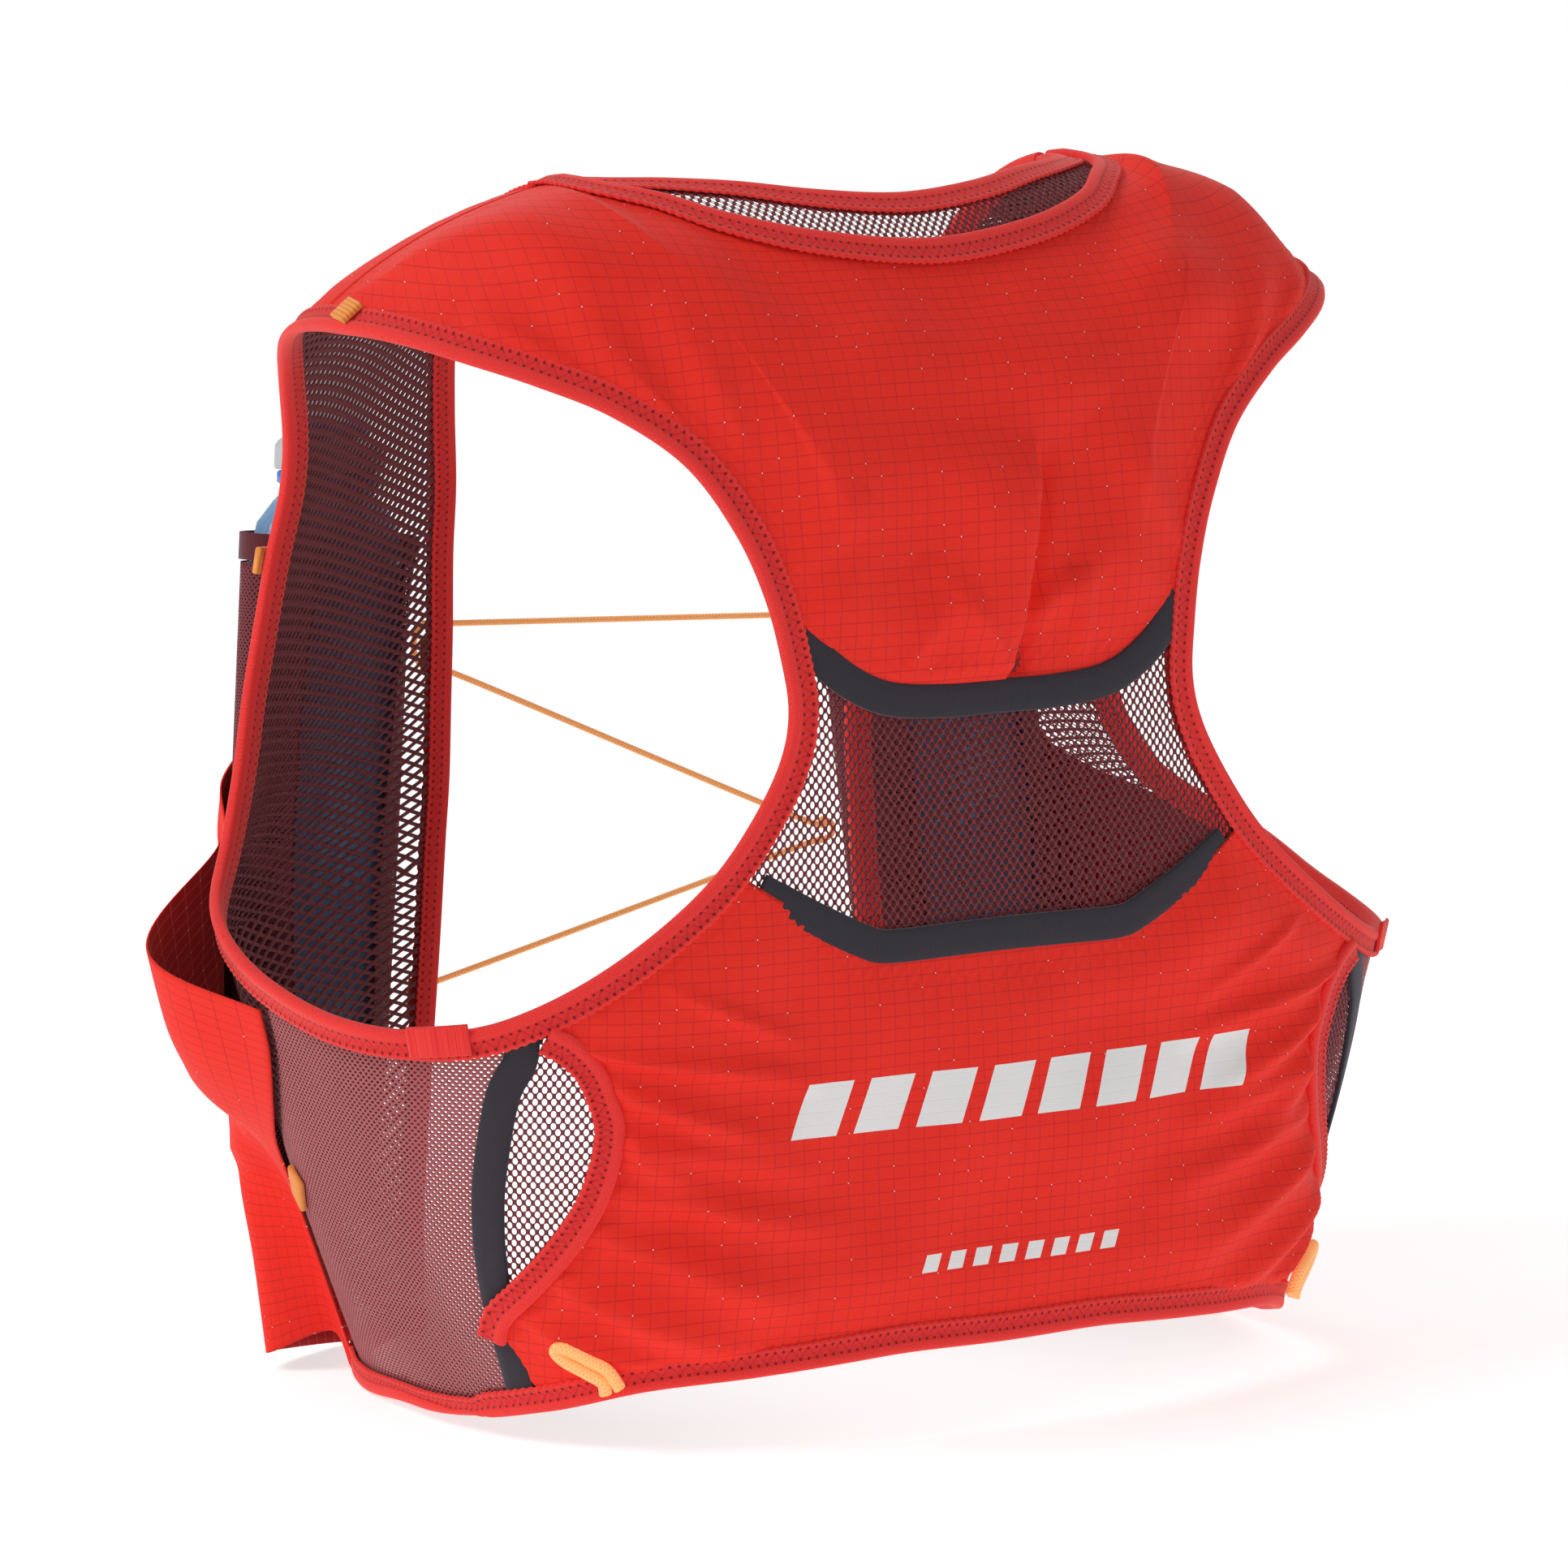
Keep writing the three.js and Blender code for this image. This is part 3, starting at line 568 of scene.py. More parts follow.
def group(name, inputs, outputs):
    """Empty shader group with named sockets; returns its tree, maths helper, inputs and output."""
    tree = bpy.data.node_groups.new(name, "ShaderNodeTree")
    for label, kind, value in inputs:
        socket = tree.interface.new_socket(label, in_out="INPUT", socket_type=kind)
        if value is not None:
            socket.default_value = value
    for label in outputs:
        tree.interface.new_socket(label, in_out="OUTPUT", socket_type="NodeSocketFloat")
    given = tree.nodes.new("NodeGroupInput")
    result = tree.nodes.new("NodeGroupOutput")
    return tree, Sums(tree), given.outputs, result.inputs


FLOAT = "NodeSocketFloat"
VECTOR = "NodeSocketVector"


def off_line(s, value):
    """Distance of a value from the nearest whole number."""
    return s.size(s.minus(value, s.math("ROUND", value)))


def make_ripstop():
    """Raised grid threads, needle-fine pinholes at alternate crossings, and the plain weave."""
    tree, s, given, out = group(
        "ripstop",
        [("Cloth", VECTOR, None), ("Cell width", FLOAT, 4.9), ("Cell height", FLOAT, 3.7),
         ("Hole chance", FLOAT, 0.2)],
        ["Line", "Pinhole", "Height"],
    )
    u, v = s.split(given["Cloth"])
    u = s.over(s.times(u, 1000.0), given["Cell width"])
    v = s.over(s.times(v, 1000.0), given["Cell height"])
    du = s.times(off_line(s, u), given["Cell width"])
    dv = s.times(off_line(s, v), given["Cell height"])
    upright = s.between(du, 0.08, 0.26, 1.0, 0.0)
    level = s.between(dv, 0.08, 0.26, 1.0, 0.0)
    tree.links.new(s.math("MAXIMUM", s.times(upright, 0.8), level), out["Line"])
    parity = s.math("PINGPONG", s.plus(s.math("ROUND", u), s.math("ROUND", v)), 1.0)
    spot = s.between(s.plus(s.times(du, du), s.times(dv, dv)),
                     0.015, 0.05, 1.0, 0.0)
    joined = tree.nodes.new("ShaderNodeCombineXYZ")
    s.feed(joined.inputs[0], s.math("ROUND", u))
    s.feed(joined.inputs[1], s.math("ROUND", v))
    chance = tree.nodes.new("ShaderNodeTexWhiteNoise")
    chance.noise_dimensions = "2D"
    tree.links.new(joined.outputs[0], chance.inputs["Vector"])
    open_here = s.math("LESS_THAN", chance.outputs["Value"], given["Hole chance"])
    tree.links.new(
        s.times(s.times(spot, parity), open_here), out["Pinhole"],
    )
    grain = s.noise(given["Cloth"], 2600.0, 2.0)
    tree.links.new(
        s.minus(s.times(grain, 0.6), s.times(level, 0.5)),
        out["Height"],
    )
    return tree


def make_knit():
    """Staggered holes, oval and diamond, in a knitted mesh; 1 is yarn and 0 is a hole."""
    tree, s, given, out = group(
        "open_knit",
        [("Cloth", VECTOR, None), ("Pitch across", FLOAT, 2.7), ("Pitch up", FLOAT, 3.6),
         ("Hole across", FLOAT, 0.8), ("Hole up", FLOAT, 1.1)],
        ["Oval", "Diamond", "Height"],
    )
    u, v = s.split(given["Cloth"])
    u = s.over(s.times(u, 1000.0), given["Pitch across"])
    v = s.over(s.times(v, 1000.0), given["Pitch up"])
    ovals, diamonds = [], []
    for half in (0.0, 0.5):
        a = s.times(off_line(s, s.plus(u, half)), given["Pitch across"])
        b = s.times(off_line(s, s.plus(v, half)), given["Pitch up"])
        a = s.over(a, given["Hole across"])
        b = s.over(b, given["Hole up"])
        ovals.append(s.plus(s.times(a, a), s.times(b, b)))
        diamonds.append(s.plus(a, b))
    oval = s.math("MINIMUM", *ovals)
    diamond = s.math("MINIMUM", *diamonds)
    tree.links.new(s.between(oval, 0.75, 1.25), out["Oval"])
    tree.links.new(s.between(diamond, 0.85, 1.15), out["Diamond"])
    yarn = s.noise(given["Cloth"], 1500.0, 2.0)
    tree.links.new(s.plus(s.between(oval, 0.6, 2.2), s.times(yarn, 0.3)),
                   out["Height"])
    return tree


def make_zigzag():
    """Zigzag stitch along the cloth's length: thread, the needle holes at its turns, and a mask of the
    sunk row for painted shade.
    """
    tree, s, given, out = group(
        "zigzag_stitch",
        [("Cloth", VECTOR, None), ("Centre", FLOAT, 5.4), ("Swing", FLOAT, 1.5),
         ("Period", FLOAT, 5.0), ("Thread", FLOAT, 0.28)],
        ["Thread", "Needle", "Row shade"],
    )
    u, v = s.split(given["Cloth"])
    u = s.over(s.times(u, 1000.0), given["Period"])
    v = s.minus(s.times(v, 1000.0), given["Centre"])
    zigzag = s.math("PINGPONG", s.times(u, 2.0), 1.0)
    wave = s.minus(s.times(zigzag, 2.0), 1.0)
    off = s.size(s.minus(v, s.times(wave, given["Swing"])))
    tree.links.new(s.between(off, s.times(given["Thread"], 0.6),
                             s.times(given["Thread"], 1.8), 1.0, 0.0), out["Thread"])
    du = s.times(off_line(s, s.times(u, 2.0)),
                s.times(given["Period"], 0.5))
    dv = s.minus(s.size(v), given["Swing"])
    away = s.plus(s.times(du, du), s.times(dv, dv))
    tree.links.new(s.between(away, 0.08, 0.32, 1.0, 0.0), out["Needle"])
    # Mask of the sunk stitched row, used only to paint shade into it.
    tree.links.new(s.between(s.size(v), given["Swing"],
                             s.plus(given["Swing"], 1.1), 1.0, 0.0), out["Row shade"])
    return tree


def make_fuzz():
    """Brushed cloth: fine noise, broad uneven dye, and a rib along the length."""
    tree, s, given, out = group(
        "brushed_cloth",
        [("Cloth", VECTOR, None), ("Rib pitch", FLOAT, 0.7)],
        ["Grain", "Dye", "Rib"],
    )
    tree.links.new(s.noise(given["Cloth"], 3200.0, 3.0), out["Grain"])
    tree.links.new(s.noise(given["Cloth"], 60.0, 3.0), out["Dye"])
    u, v = s.split(given["Cloth"])
    turns = s.over(s.times(u, 2000.0 * math.pi), given["Rib pitch"])
    tree.links.new(s.math("SINE", turns), out["Rib"])
    return tree


def make_print():
    """Generic print: two rows of slanted bars, large over small."""
    tree, s, given, out = group("slanted_print", [("Cloth", VECTOR, None)], ["Mark"])
    u, v = s.split(given["Cloth"])
    u, v = s.times(u, 1000.0), s.times(v, 1000.0)
    marks = []
    for middle_u, middle_v, half_bars, half_v, pitch, duty, lean in (
        (-6.0, 104.0, 4.0, 8.0, 20.5, 0.72, 0.35), (-3.0, 55.0, 4.0, 2.6, 9.0, 0.6, 0.35),
    ):
        du = s.minus(u, middle_u)
        dv = s.minus(v, middle_v)
        share = s.over(s.plus(du, s.times(dv, lean)), pitch)
        bars = s.math("LESS_THAN", s.math("FRACT", share), duty)
        wide = s.math("LESS_THAN", s.size(share), half_bars)
        tall = s.math("LESS_THAN", s.size(dv), half_v)
        marks.append(s.times(s.times(bars, wide), tall))
    tree.links.new(s.math("MAXIMUM", *marks), out["Mark"])
    return tree


RIPSTOP, KNIT, ZIGZAG, FUZZ = make_ripstop(), make_knit(), make_zigzag(), make_fuzz()
PRINT = make_print()


class Finish:
    """One material: its tree, maths helper, cloth coordinates and Principled shader."""

    def __init__(self, name, roughness=0.8, sheen=0.0, tint=(1, 1, 1)):
        self.material = bpy.data.materials.new(name)
        self.material.use_nodes = True
        self.tree = self.material.node_tree
        self.s = Sums(self.tree)
        self.shader = self.tree.nodes["Principled BSDF"]
        self.shader.inputs["Roughness"].default_value = roughness
        if sheen:
            self.shader.inputs["Sheen Weight"].default_value = sheen
            self.shader.inputs["Sheen Roughness"].default_value = 0.45
            self.shader.inputs["Sheen Tint"].default_value = (*tint, 1)
        self.shader.inputs["Specular IOR Level"].default_value = 0.25
        map_node = self.tree.nodes.new("ShaderNodeUVMap")
        map_node.uv_map = "cloth"
        self.cloth = map_node.outputs["UV"]

    def use(self, tree, **values):
        node = self.tree.nodes.new("ShaderNodeGroup")
        node.node_tree = tree
        self.tree.links.new(self.cloth, node.inputs["Cloth"])
        for key, value in values.items():
            node.inputs[key.replace("_", " ")].default_value = value
        return node.outputs

    def colour(self, value):
        self.s.feed(self.shader.inputs["Base Color"], value)

    def bump(self, height, strength, distance):
        node = self.tree.nodes.new("ShaderNodeBump")
        node.inputs["Strength"].default_value = strength
        node.inputs["Distance"].default_value = distance
        self.s.feed(node.inputs["Height"], height)
        self.tree.links.new(node.outputs["Normal"], self.shader.inputs["Normal"])

    def alpha(self, value):
        self.s.feed(self.shader.inputs["Alpha"], value)


RED = (0.90, 0.026, 0.014, 1)
RED_DEEP = (0.42, 0.006, 0.012, 1)
RED_BRIGHT = (0.95, 0.06, 0.05, 1)
WINE = (0.155, 0.022, 0.030, 1)
WINE_LIGHT = (0.27, 0.055, 0.065, 1)
PALE = (0.95, 0.78, 0.74, 1)
ORANGE = (1.0, 0.42, 0.10, 1)
ORANGE_DEEP = (0.92, 0.27, 0.055, 1)


def ripstop_finish(name, printed=False):
    """Red stretch ripstop: darker grid, pale pinholes, fine weave bump and an optional print."""
    f = Finish(name, 0.72, 0.08, (1.0, 0.45, 0.4))
    weave = f.use(RIPSTOP)
    fuzz = f.use(FUZZ)
    base = f.s.blend(fuzz["Dye"], (0.82, 0.020, 0.012, 1), (0.95, 0.034, 0.018, 1))
    grained = f.s.blend(f.s.between(fuzz["Grain"], 0.35, 0.7), base, RED)
    lined = f.s.blend(f.s.times(weave["Line"], 0.42), grained, RED_DEEP)
    holed = f.s.blend(weave["Pinhole"], lined, PALE)
    if printed:
        holed = f.s.blend(f.use(PRINT)["Mark"], holed, (0.85, 0.85, 0.84, 1))
    f.colour(holed)
    f.bump(weave["Height"], 0.35, 0.0002)
    return f.material


def binding_finish():
    """Folded red elastic: brushed face, zigzag with painted shade in its sunk row, dark needle holes."""
    f = Finish("red_binding", 0.8, 0.35, (1.0, 0.5, 0.45))
    stitch = f.use(ZIGZAG)
    fuzz = f.use(FUZZ, Rib_pitch=0.9)
    base = f.s.blend(f.s.between(fuzz["Grain"], 0.3, 0.7), (0.78, 0.018, 0.020, 1), RED_BRIGHT)
    # Painted shade: the stitched row, where the binding's profile dips, is darkened.
    sunk = f.s.blend(f.s.times(stitch["Row shade"], 0.3), base, (0.55, 0.008, 0.014, 1))
    sewn = f.s.blend(f.s.times(stitch["Thread"], 0.3), sunk, (0.45, 0.006, 0.012, 1))
    # Painted shade: each needle hole is painted near-black for the shade inside it.
    f.colour(f.s.blend(f.s.times(stitch["Needle"], 0.8), sewn, (0.16, 0.002, 0.006, 1)))
    height = f.s.minus(f.s.times(fuzz["Grain"], 0.35),
                      f.s.times(stitch["Needle"], 1.2))
    height = f.s.plus(height, f.s.times(stitch["Thread"], 0.5))
    f.bump(height, 0.6, 0.00035)
    return f.material


def plain_red_finish():
    """Smooth red elastic without stitching."""
    f = Finish("red_elastic_plain", 0.8, 0.35, (1.0, 0.5, 0.45))
    fuzz = f.use(FUZZ, Rib_pitch=0.9)
    f.colour(f.s.blend(f.s.between(fuzz["Grain"], 0.3, 0.7), (0.78, 0.018, 0.020, 1), RED_BRIGHT))
    f.bump(fuzz["Grain"], 0.4, 0.0003)
    return f.material


def pocket_lining_finish():
    """Inside of the red cloth: darker, with paler grid threads and white pinholes."""
    f = Finish("red_ripstop_inside", 0.8, 0.2, (1.0, 0.5, 0.4))
    weave = f.use(RIPSTOP, Hole_chance=0.9)
    fuzz = f.use(FUZZ)
    base = f.s.blend(fuzz["Dye"], (0.38, 0.006, 0.012, 1), (0.50, 0.012, 0.016, 1))
    lined = f.s.blend(f.s.times(weave["Line"], 0.45), base, (0.85, 0.20, 0.12, 1))
    f.colour(f.s.blend(weave["Pinhole"], lined, PALE))
    f.bump(weave["Height"], 0.35, 0.0002)
    return f.material


def knit_finish(name, shape, dark, light, close_up=None, **values):
    """Open knitted mesh whose holes are clear; close_up makes them smaller up the cloth."""
    f = Finish(name, 0.75, 0.15, (0.9, 0.5, 0.5))
    knit = f.use(KNIT, **values)
    if close_up:
        u, v = f.s.split(f.cloth)
        for key in ("Hole across", "Hole up"):
            socket = f.tree.nodes["Group"].inputs[key]
            size = socket.default_value
            f.s.feed(socket, f.s.between(v, *close_up, size, size * 0.62))
    fuzz = f.use(FUZZ)
    f.colour(f.s.blend(f.s.between(fuzz["Grain"], 0.35, 0.65), dark, light))
    f.alpha(knit[shape])
    f.bump(knit["Height"], 0.7, 0.0004)
    return f.material


def band_finish(name, dark, light):
    """Matte elastic with fine cross ribs."""
    f = Finish(name, 0.85, 0.3, (0.7, 0.7, 0.8))
    fuzz = f.use(FUZZ, Rib_pitch=0.8)
    f.colour(f.s.blend(fuzz["Grain"], dark, light))
    f.bump(f.s.plus(fuzz["Grain"], f.s.times(fuzz["Rib"], 0.3)), 0.4, 0.0002)
    return f.material


def tape_finish():
    """Orange webbing with lengthwise ribs."""
    f = Finish("orange_webbing", 0.7, 0.2, (1.0, 0.8, 0.6))
    fuzz = f.use(FUZZ, Rib_pitch=0.9)
    f.colour(f.s.blend(f.s.between(fuzz["Rib"], -1.0, 1.0), ORANGE_DEEP, ORANGE))
    f.bump(f.s.plus(fuzz["Rib"], fuzz["Grain"]), 0.6, 0.0003)
    return f.material


def cord_finish():
    """Braided pale orange cord: crossed helices round its length, with a faint painted glow."""
    f = Finish("orange_cord", 0.6, 0.2, (1.0, 0.85, 0.7))
    s = f.s
    u, v = s.split(f.cloth)
    a = s.math("SINE", s.plus(s.times(u, 5200.0), s.times(v, 2600.0)))
    b = s.math("SINE", s.minus(s.times(u, 5200.0), s.times(v, 2600.0)))
    braid = s.math("MAXIMUM", a, b)
    f.colour(s.blend(s.between(braid, -0.6, 0.7), (0.98, 0.36, 0.10, 1), (1.0, 0.52, 0.20, 1)))
    # Painted light: a faint orange emission brightens the cord, which lies in the vest's shade.
    f.shader.inputs["Emission Color"].default_value = (1.0, 0.42, 0.14, 1)
    f.shader.inputs["Emission Strength"].default_value = 0.3
    f.bump(braid, 0.5, 0.0003)
    return f.material


def film_finish():
    """Soft translucent flask film."""
    f = Finish("flask_film", 0.35)
    fuzz = f.use(FUZZ)
    f.colour(f.s.blend(fuzz["Dye"], (0.10, 0.32, 0.66, 1), (0.36, 0.56, 0.80, 1)))
    f.shader.inputs["Transmission Weight"].default_value = 0.25
    f.shader.inputs["Specular IOR Level"].default_value = 0.5
    f.bump(fuzz["Dye"], 0.3, 0.002)
    return f.material


def plastic_finish(name, low, high, roughness):
    """Moulded plastic with a faint mould texture."""
    f = Finish(name, roughness)
    fuzz = f.use(FUZZ)
    f.colour(f.s.blend(fuzz["Dye"], low, high))
    f.shader.inputs["Specular IOR Level"].default_value = 0.5
    f.bump(fuzz["Grain"], 0.15, 0.0002)
    return f.material


red_cloth = ripstop_finish("red_ripstop")
red_printed = ripstop_finish("red_ripstop_printed", printed=True)
red_binding = binding_finish()
red_plain = plain_red_finish()
red_inside = pocket_lining_finish()
back_knit = knit_finish("back_knit", "Oval", WINE, WINE_LIGHT)
net_knit = knit_finish(
    "chest_net", "Diamond", (0.13, 0.03, 0.036, 1), (0.21, 0.052, 0.060, 1), (0.20, 0.30),
    Pitch_across=5.2, Pitch_up=3.7, Hole_across=1.75, Hole_up=1.2,
)
side_knit = knit_finish(
    "side_knit", "Oval", (0.35, 0.08, 0.088, 1), (0.50, 0.145, 0.155, 1),
    Pitch_across=2.1, Pitch_up=2.1, Hole_across=0.5, Hole_up=0.36,
)
pocket_knit = knit_finish(
    "pocket_knit", "Oval", (0.14, 0.022, 0.03, 1), (0.24, 0.05, 0.06, 1),
    Pitch_across=1.7, Pitch_up=1.9, Hole_across=0.3, Hole_up=0.28,
)
charcoal = band_finish("charcoal_elastic", (0.022, 0.019, 0.026, 1), (0.050, 0.044, 0.056, 1))
wine_elastic = band_finish("wine_elastic", (0.085, 0.012, 0.018, 1), (0.15, 0.028, 0.036, 1))
webbing = tape_finish()
cord_braid = cord_finish()
film = film_finish()
ring_blue = plastic_finish("blue_ring", (0.01, 0.16, 0.62, 1), (0.02, 0.22, 0.75, 1), 0.35)
cap_grey = plastic_finish("grey_cap", (0.50, 0.52, 0.54, 1), (0.60, 0.61, 0.62, 1), 0.5)

# ---- Cords ---------------------------------------------------------------------------------------

def tube(name, line, radius, sides, reference, material, joined=False):
    """Round tube along a line; the ring starts from a fixed reference direction."""
    along = np.roll(line, -1, 0) - np.roll(line, 1, 0) if joined else np.gradient(line, axis=0)
    along /= np.linalg.norm(along, axis=1, keepdims=True)
    first = np.cross(along, reference)
    first /= np.linalg.norm(first, axis=1, keepdims=True)
    second = np.cross(along, first)
    angle = np.linspace(0, 2 * math.pi, sides, endpoint=False)
    radius = np.broadcast_to(radius, (len(line),))
    rings = line[:, None] + radius[:, None, None] * (
        first[:, None] * np.cos(angle)[None, :, None]
        + second[:, None] * np.sin(angle)[None, :, None]
    )
    run = lengths(line)
    cloth = np.stack(np.broadcast_arrays(run[:, None], (angle * radius.mean())[None]), -1)
    points, uv = rings.reshape(-1, 3), cloth.reshape(-1, 2)
    faces = grid_faces(len(line), sides, wrap_columns=True, wrap_rows=joined)
    if not joined:
        faces.append(list(range(sides))[::-1])
        faces.append(list(range(len(points) - sides, len(points))))
    item = build(name, points, faces, uv, material)
    face_out(item)
    return item


def declare_cord(line):
    """Works out a taut cord's start on the object, the length of its own route and its points in metres,
    and keeps none of them.
    """
    tuple(to_frame(line[0]))
    round(lengths(line)[-1] / 1000, 4)
    [tuple(p) for p in to_frame(line)]


CLOSURE_ROUTE = [
    (-78, -116, 204), (-60, -116, 205), (60, -116, 211), (72, -116, 211.5), (76, -116, 208),
    (76, -116, 202), (72, -116, 198), (60, -116, 194.5), (-60, -116, 141), (-72, -116, 138.5),
    (-76, -116, 136.5), (-76, -116, 133.5), (-72, -116, 131.5), (-60, -116, 129.5),
    (60, -116, 101.5), (80, -116, 97.5),
]
CLOSURE_RADIUS = 0.95
closure_line = smooth_line(CLOSURE_ROUTE, 620)
closure = tube("closure_cord_braided", closure_line, CLOSURE_RADIUS, 16, (0, 1, 0), cord_braid)
placed(closure, "closure_cord", "right_front")
declare_cord(closure_line)

HEM_LOOP = [
    (116, 73, 14), (119, 71.5, 20), (123, 69, 23), (127, 66.5, 25.5), (130, 64.5, 26.5),
    (131.5, 63.5, 24.5), (129, 65, 21.5), (124.5, 68, 18.5), (120.5, 70.5, 15.5), (120, 71, 11),
]
HEM_LOOP_RADIUS = 1.9
loop_line = smooth_line(on_form(np.array(HEM_LOOP, float), 7.0), 110)
for side, sign in (("left", 1.0), ("right", -1.0)):
    line = loop_line * np.array([sign, 1, 1])
    item = tube(f"hem_loop_cord_{side}", line, HEM_LOOP_RADIUS, 20, (0.2 * sign, 1, 0), cord_braid)
    placed(item, f"hem_cord_loop_{side}")
    declare_cord(line)

# ---- Panels --------------------------------------------------------------------------------------

def soft_step(value, low, high):
    """Smooth ramp from 0 to 1."""
    t = np.clip((value - low) / (high - low), 0, 1)
    return t * t * (3 - 2 * t)


def edge_distance(grid):
    """Distance in mm from each grid point to the nearest of the four borders, along the grid."""
    across = running(np.linalg.norm(np.diff(grid, axis=1), axis=2), 1)
    up = running(np.linalg.norm(np.diff(grid, axis=0), axis=2), 0)
    return np.minimum(
        np.minimum(across, across[:, -1:] - across), np.minimum(up, up[-1:] - up),
    )


def folds(cloth, creases):
    """Soft folds: for each crease a bell across its line, fading out along its length."""
    height = np.zeros(cloth.shape[:-1])
    for start, end, tall, wide in creases:
        a, b = np.array(start, float), np.array(end, float)
        way = b - a
        t = np.clip(((cloth - a) @ way) / (way @ way), -0.08, 1.08)
        away = np.linalg.norm(cloth - (a + t[..., None] * way), axis=-1)
        spread = wide * (0.55 + 0.9 * np.clip(t, 0, 1))
        fade = np.sin(math.pi * np.clip(0.12 + 0.88 * t, 0, 1)) ** 0.8
        height += tall * fade * np.exp(-((away / spread) ** 2))
    return height


def dart(cloth, start, end, tall, soft):
    """Pleat: the cloth left of the line stands up, dropping sharply to its right."""
    a, b = np.array(start, float), np.array(end, float)
    way = b - a
    size = np.linalg.norm(way)
    along = ((cloth - a) @ way) / size**2
    aside = (cloth - a) @ np.array([-way[1], way[0]]) / size
    fade = soft_step(along, -0.04, 0.2) * (1 - soft_step(along, 1.1, 1.3))
    left = soft_step(aside, -0.5, 0.5) * np.exp(-np.clip(aside, 0, None) / soft)
    right = -0.5 * np.exp(-((aside + 3) / 4) ** 2)
    return tall * fade * (left + right)


def ripple(cloth, seed, tall):
    """Gentle unevenness: a few crossed sine waves of long period."""
    rng = np.random.default_rng(seed)
    total = np.zeros(cloth.shape[:-1])
    for _ in range(7):
        turn = rng.uniform(0, math.pi)
        period = rng.uniform(34, 90)
        way = np.array([math.cos(turn), math.sin(turn)]) * 2 * math.pi / period
        total += np.sin(cloth @ way + rng.uniform(0, 6.3))
    return total * tall / 3


def gauge(grid):
    """Cloth coordinates of a loose grid: mean arc length along and across it."""
    across = np.linalg.norm(np.diff(grid, axis=1), axis=2).mean(0)
    up = np.linalg.norm(np.diff(grid, axis=0), axis=2).mean(1)
    u = running(across, 0)[None]
    v = running(up, 0)[:, None]
    return np.stack(np.broadcast_arrays(u, v), -1)


def panel(
    name, grid, material, low, rise, creases=(), seed=1, uneven=0.5, thick=0.5, pucker=0.25,
    pleat=None, local=False, inside=None, reach=22.0,
):
    """Cloth panel on the form: low at its sewn edges, rising inside, with folds and puckers."""
    base = on_form(grid)
    cloth = gauge(base) if local else unrolled(base)
    edge = edge_distance(base)
    free = soft_step(edge, 0, reach)
    height = low + rise * free + folds(cloth, creases) * soft_step(edge, 1, 9)
    height = height + ripple(cloth, seed, uneven) * soft_step(edge, 2, 30)
    if pleat:
        height = height + dart(cloth, *pleat) * soft_step(edge, 0, 6)
    gather = np.sin(cloth[..., 0] * 1.45) * np.sin(cloth[..., 1] * 1.3)
    height = height + pucker * gather * np.exp(-((edge - 9) / 5) ** 2)
    normal = form_normal(base)
    inner = base + normal * (height - thick / 2)[..., None]
    outer = base + normal * (height + thick / 2)[..., None]
    return sheet_between(name, inner, outer, cloth, material, inside)


UNDER = 4.0
loop = armhole[:-1]
arm_round = on_form(loop + sideways(loop, closed=True) * UNDER)
underarm_at = int(np.argmin(np.linalg.norm(loop - np.array(UNDERARM), axis=1)))
arm_under = arm_round[:underarm_at + 1]
arm_front_under = np.vstack([arm_round[underarm_at:], arm_round[:1]])
neck_inner_under = shifted(neck_inner, UNDER)
neck_outer_under = shifted(neck_outer, UNDER)
hem_under = shifted(hem, -UNDER)


def shoulder_line(a, b):
    """Line on the form across the shoulder between two points."""
    t = np.linspace(0, 1, 25)[:, None]
    return on_form(a * (1 - t) + b * t)


# Lining mesh of the back.
band_line = side_band[12:]
hem_part = cut(hem_under, (0, 99, 20), (138, 36, 8))[::-1]
left_side = np.vstack([band_line[::-1], cut(arm_under, (146, 70, 118), (166, -15, 316))])
left_side[0] = hem_part[0]
neck_top = np.vstack([
    shoulder_line(left_side[-1], neck_inner_under[-1])[:-1], neck_inner_under[::-1],
])
middle = shoulder_line(hem_part[-1], neck_top[-1])
back_grid = filled(hem_part, neck_top, left_side, middle, 60, 130)
back_lining = panel("back_lining_mesh", across_back(back_grid), back_knit, 0.3, 0.0, uneven=0.35, pucker=0)
placed(back_lining, "back_mesh_panel", rests_on=["hem_binding_back"])

# Outer panel of the upper back and shoulders.
upper_arm = cut(arm_under, (68, 90, 238), (166, -15, 316))
upper_low = cut(shifted(upper_band_edge, 2.0), (0, 98, 218), (64, 91, 235))[::-1]
upper_arm[0] = upper_low[0]
outer_top = np.vstack([
    shoulder_line(upper_arm[-1], neck_outer_under[-1])[:-1], neck_outer_under[::-1],
])
upper_middle = shoulder_line(upper_low[-1], outer_top[-1])
upper_grid = across_back(filled(upper_low, outer_top, upper_arm, upper_middle, 110, 130))
UPPER_CREASES = [
    ((2, 232), (26, 262), 1.6, 5.0), ((-8, 240), (-44, 262), 1.5, 6.0), ((30, 232), (20, 250), 1.4, 5.0),
    ((-30, 232), (-26, 256), 1.6, 4.5), ((64, 262), (44, 282), 1.2, 6.0),
    ((-66, 262), (-40, 300), 1.4, 7.0), ((112, 302), (150, 338), 2.2, 6.0),
    ((96, 300), (124, 342), 1.6, 6.0), ((128, 306), (172, 330), 1.8, 5.0),
    ((78, 298), (96, 340), 1.2, 6.0), ((-112, 302), (-150, 338), 2.2, 6.0),
    ((-96, 300), (-124, 342), 1.6, 6.0), ((-128, 306), (-172, 330), 1.8, 5.0),
    ((0, 270), (40, 330), 1.2, 16.0), ((-20, 300), (-70, 330), 1.6, 14.0),
]
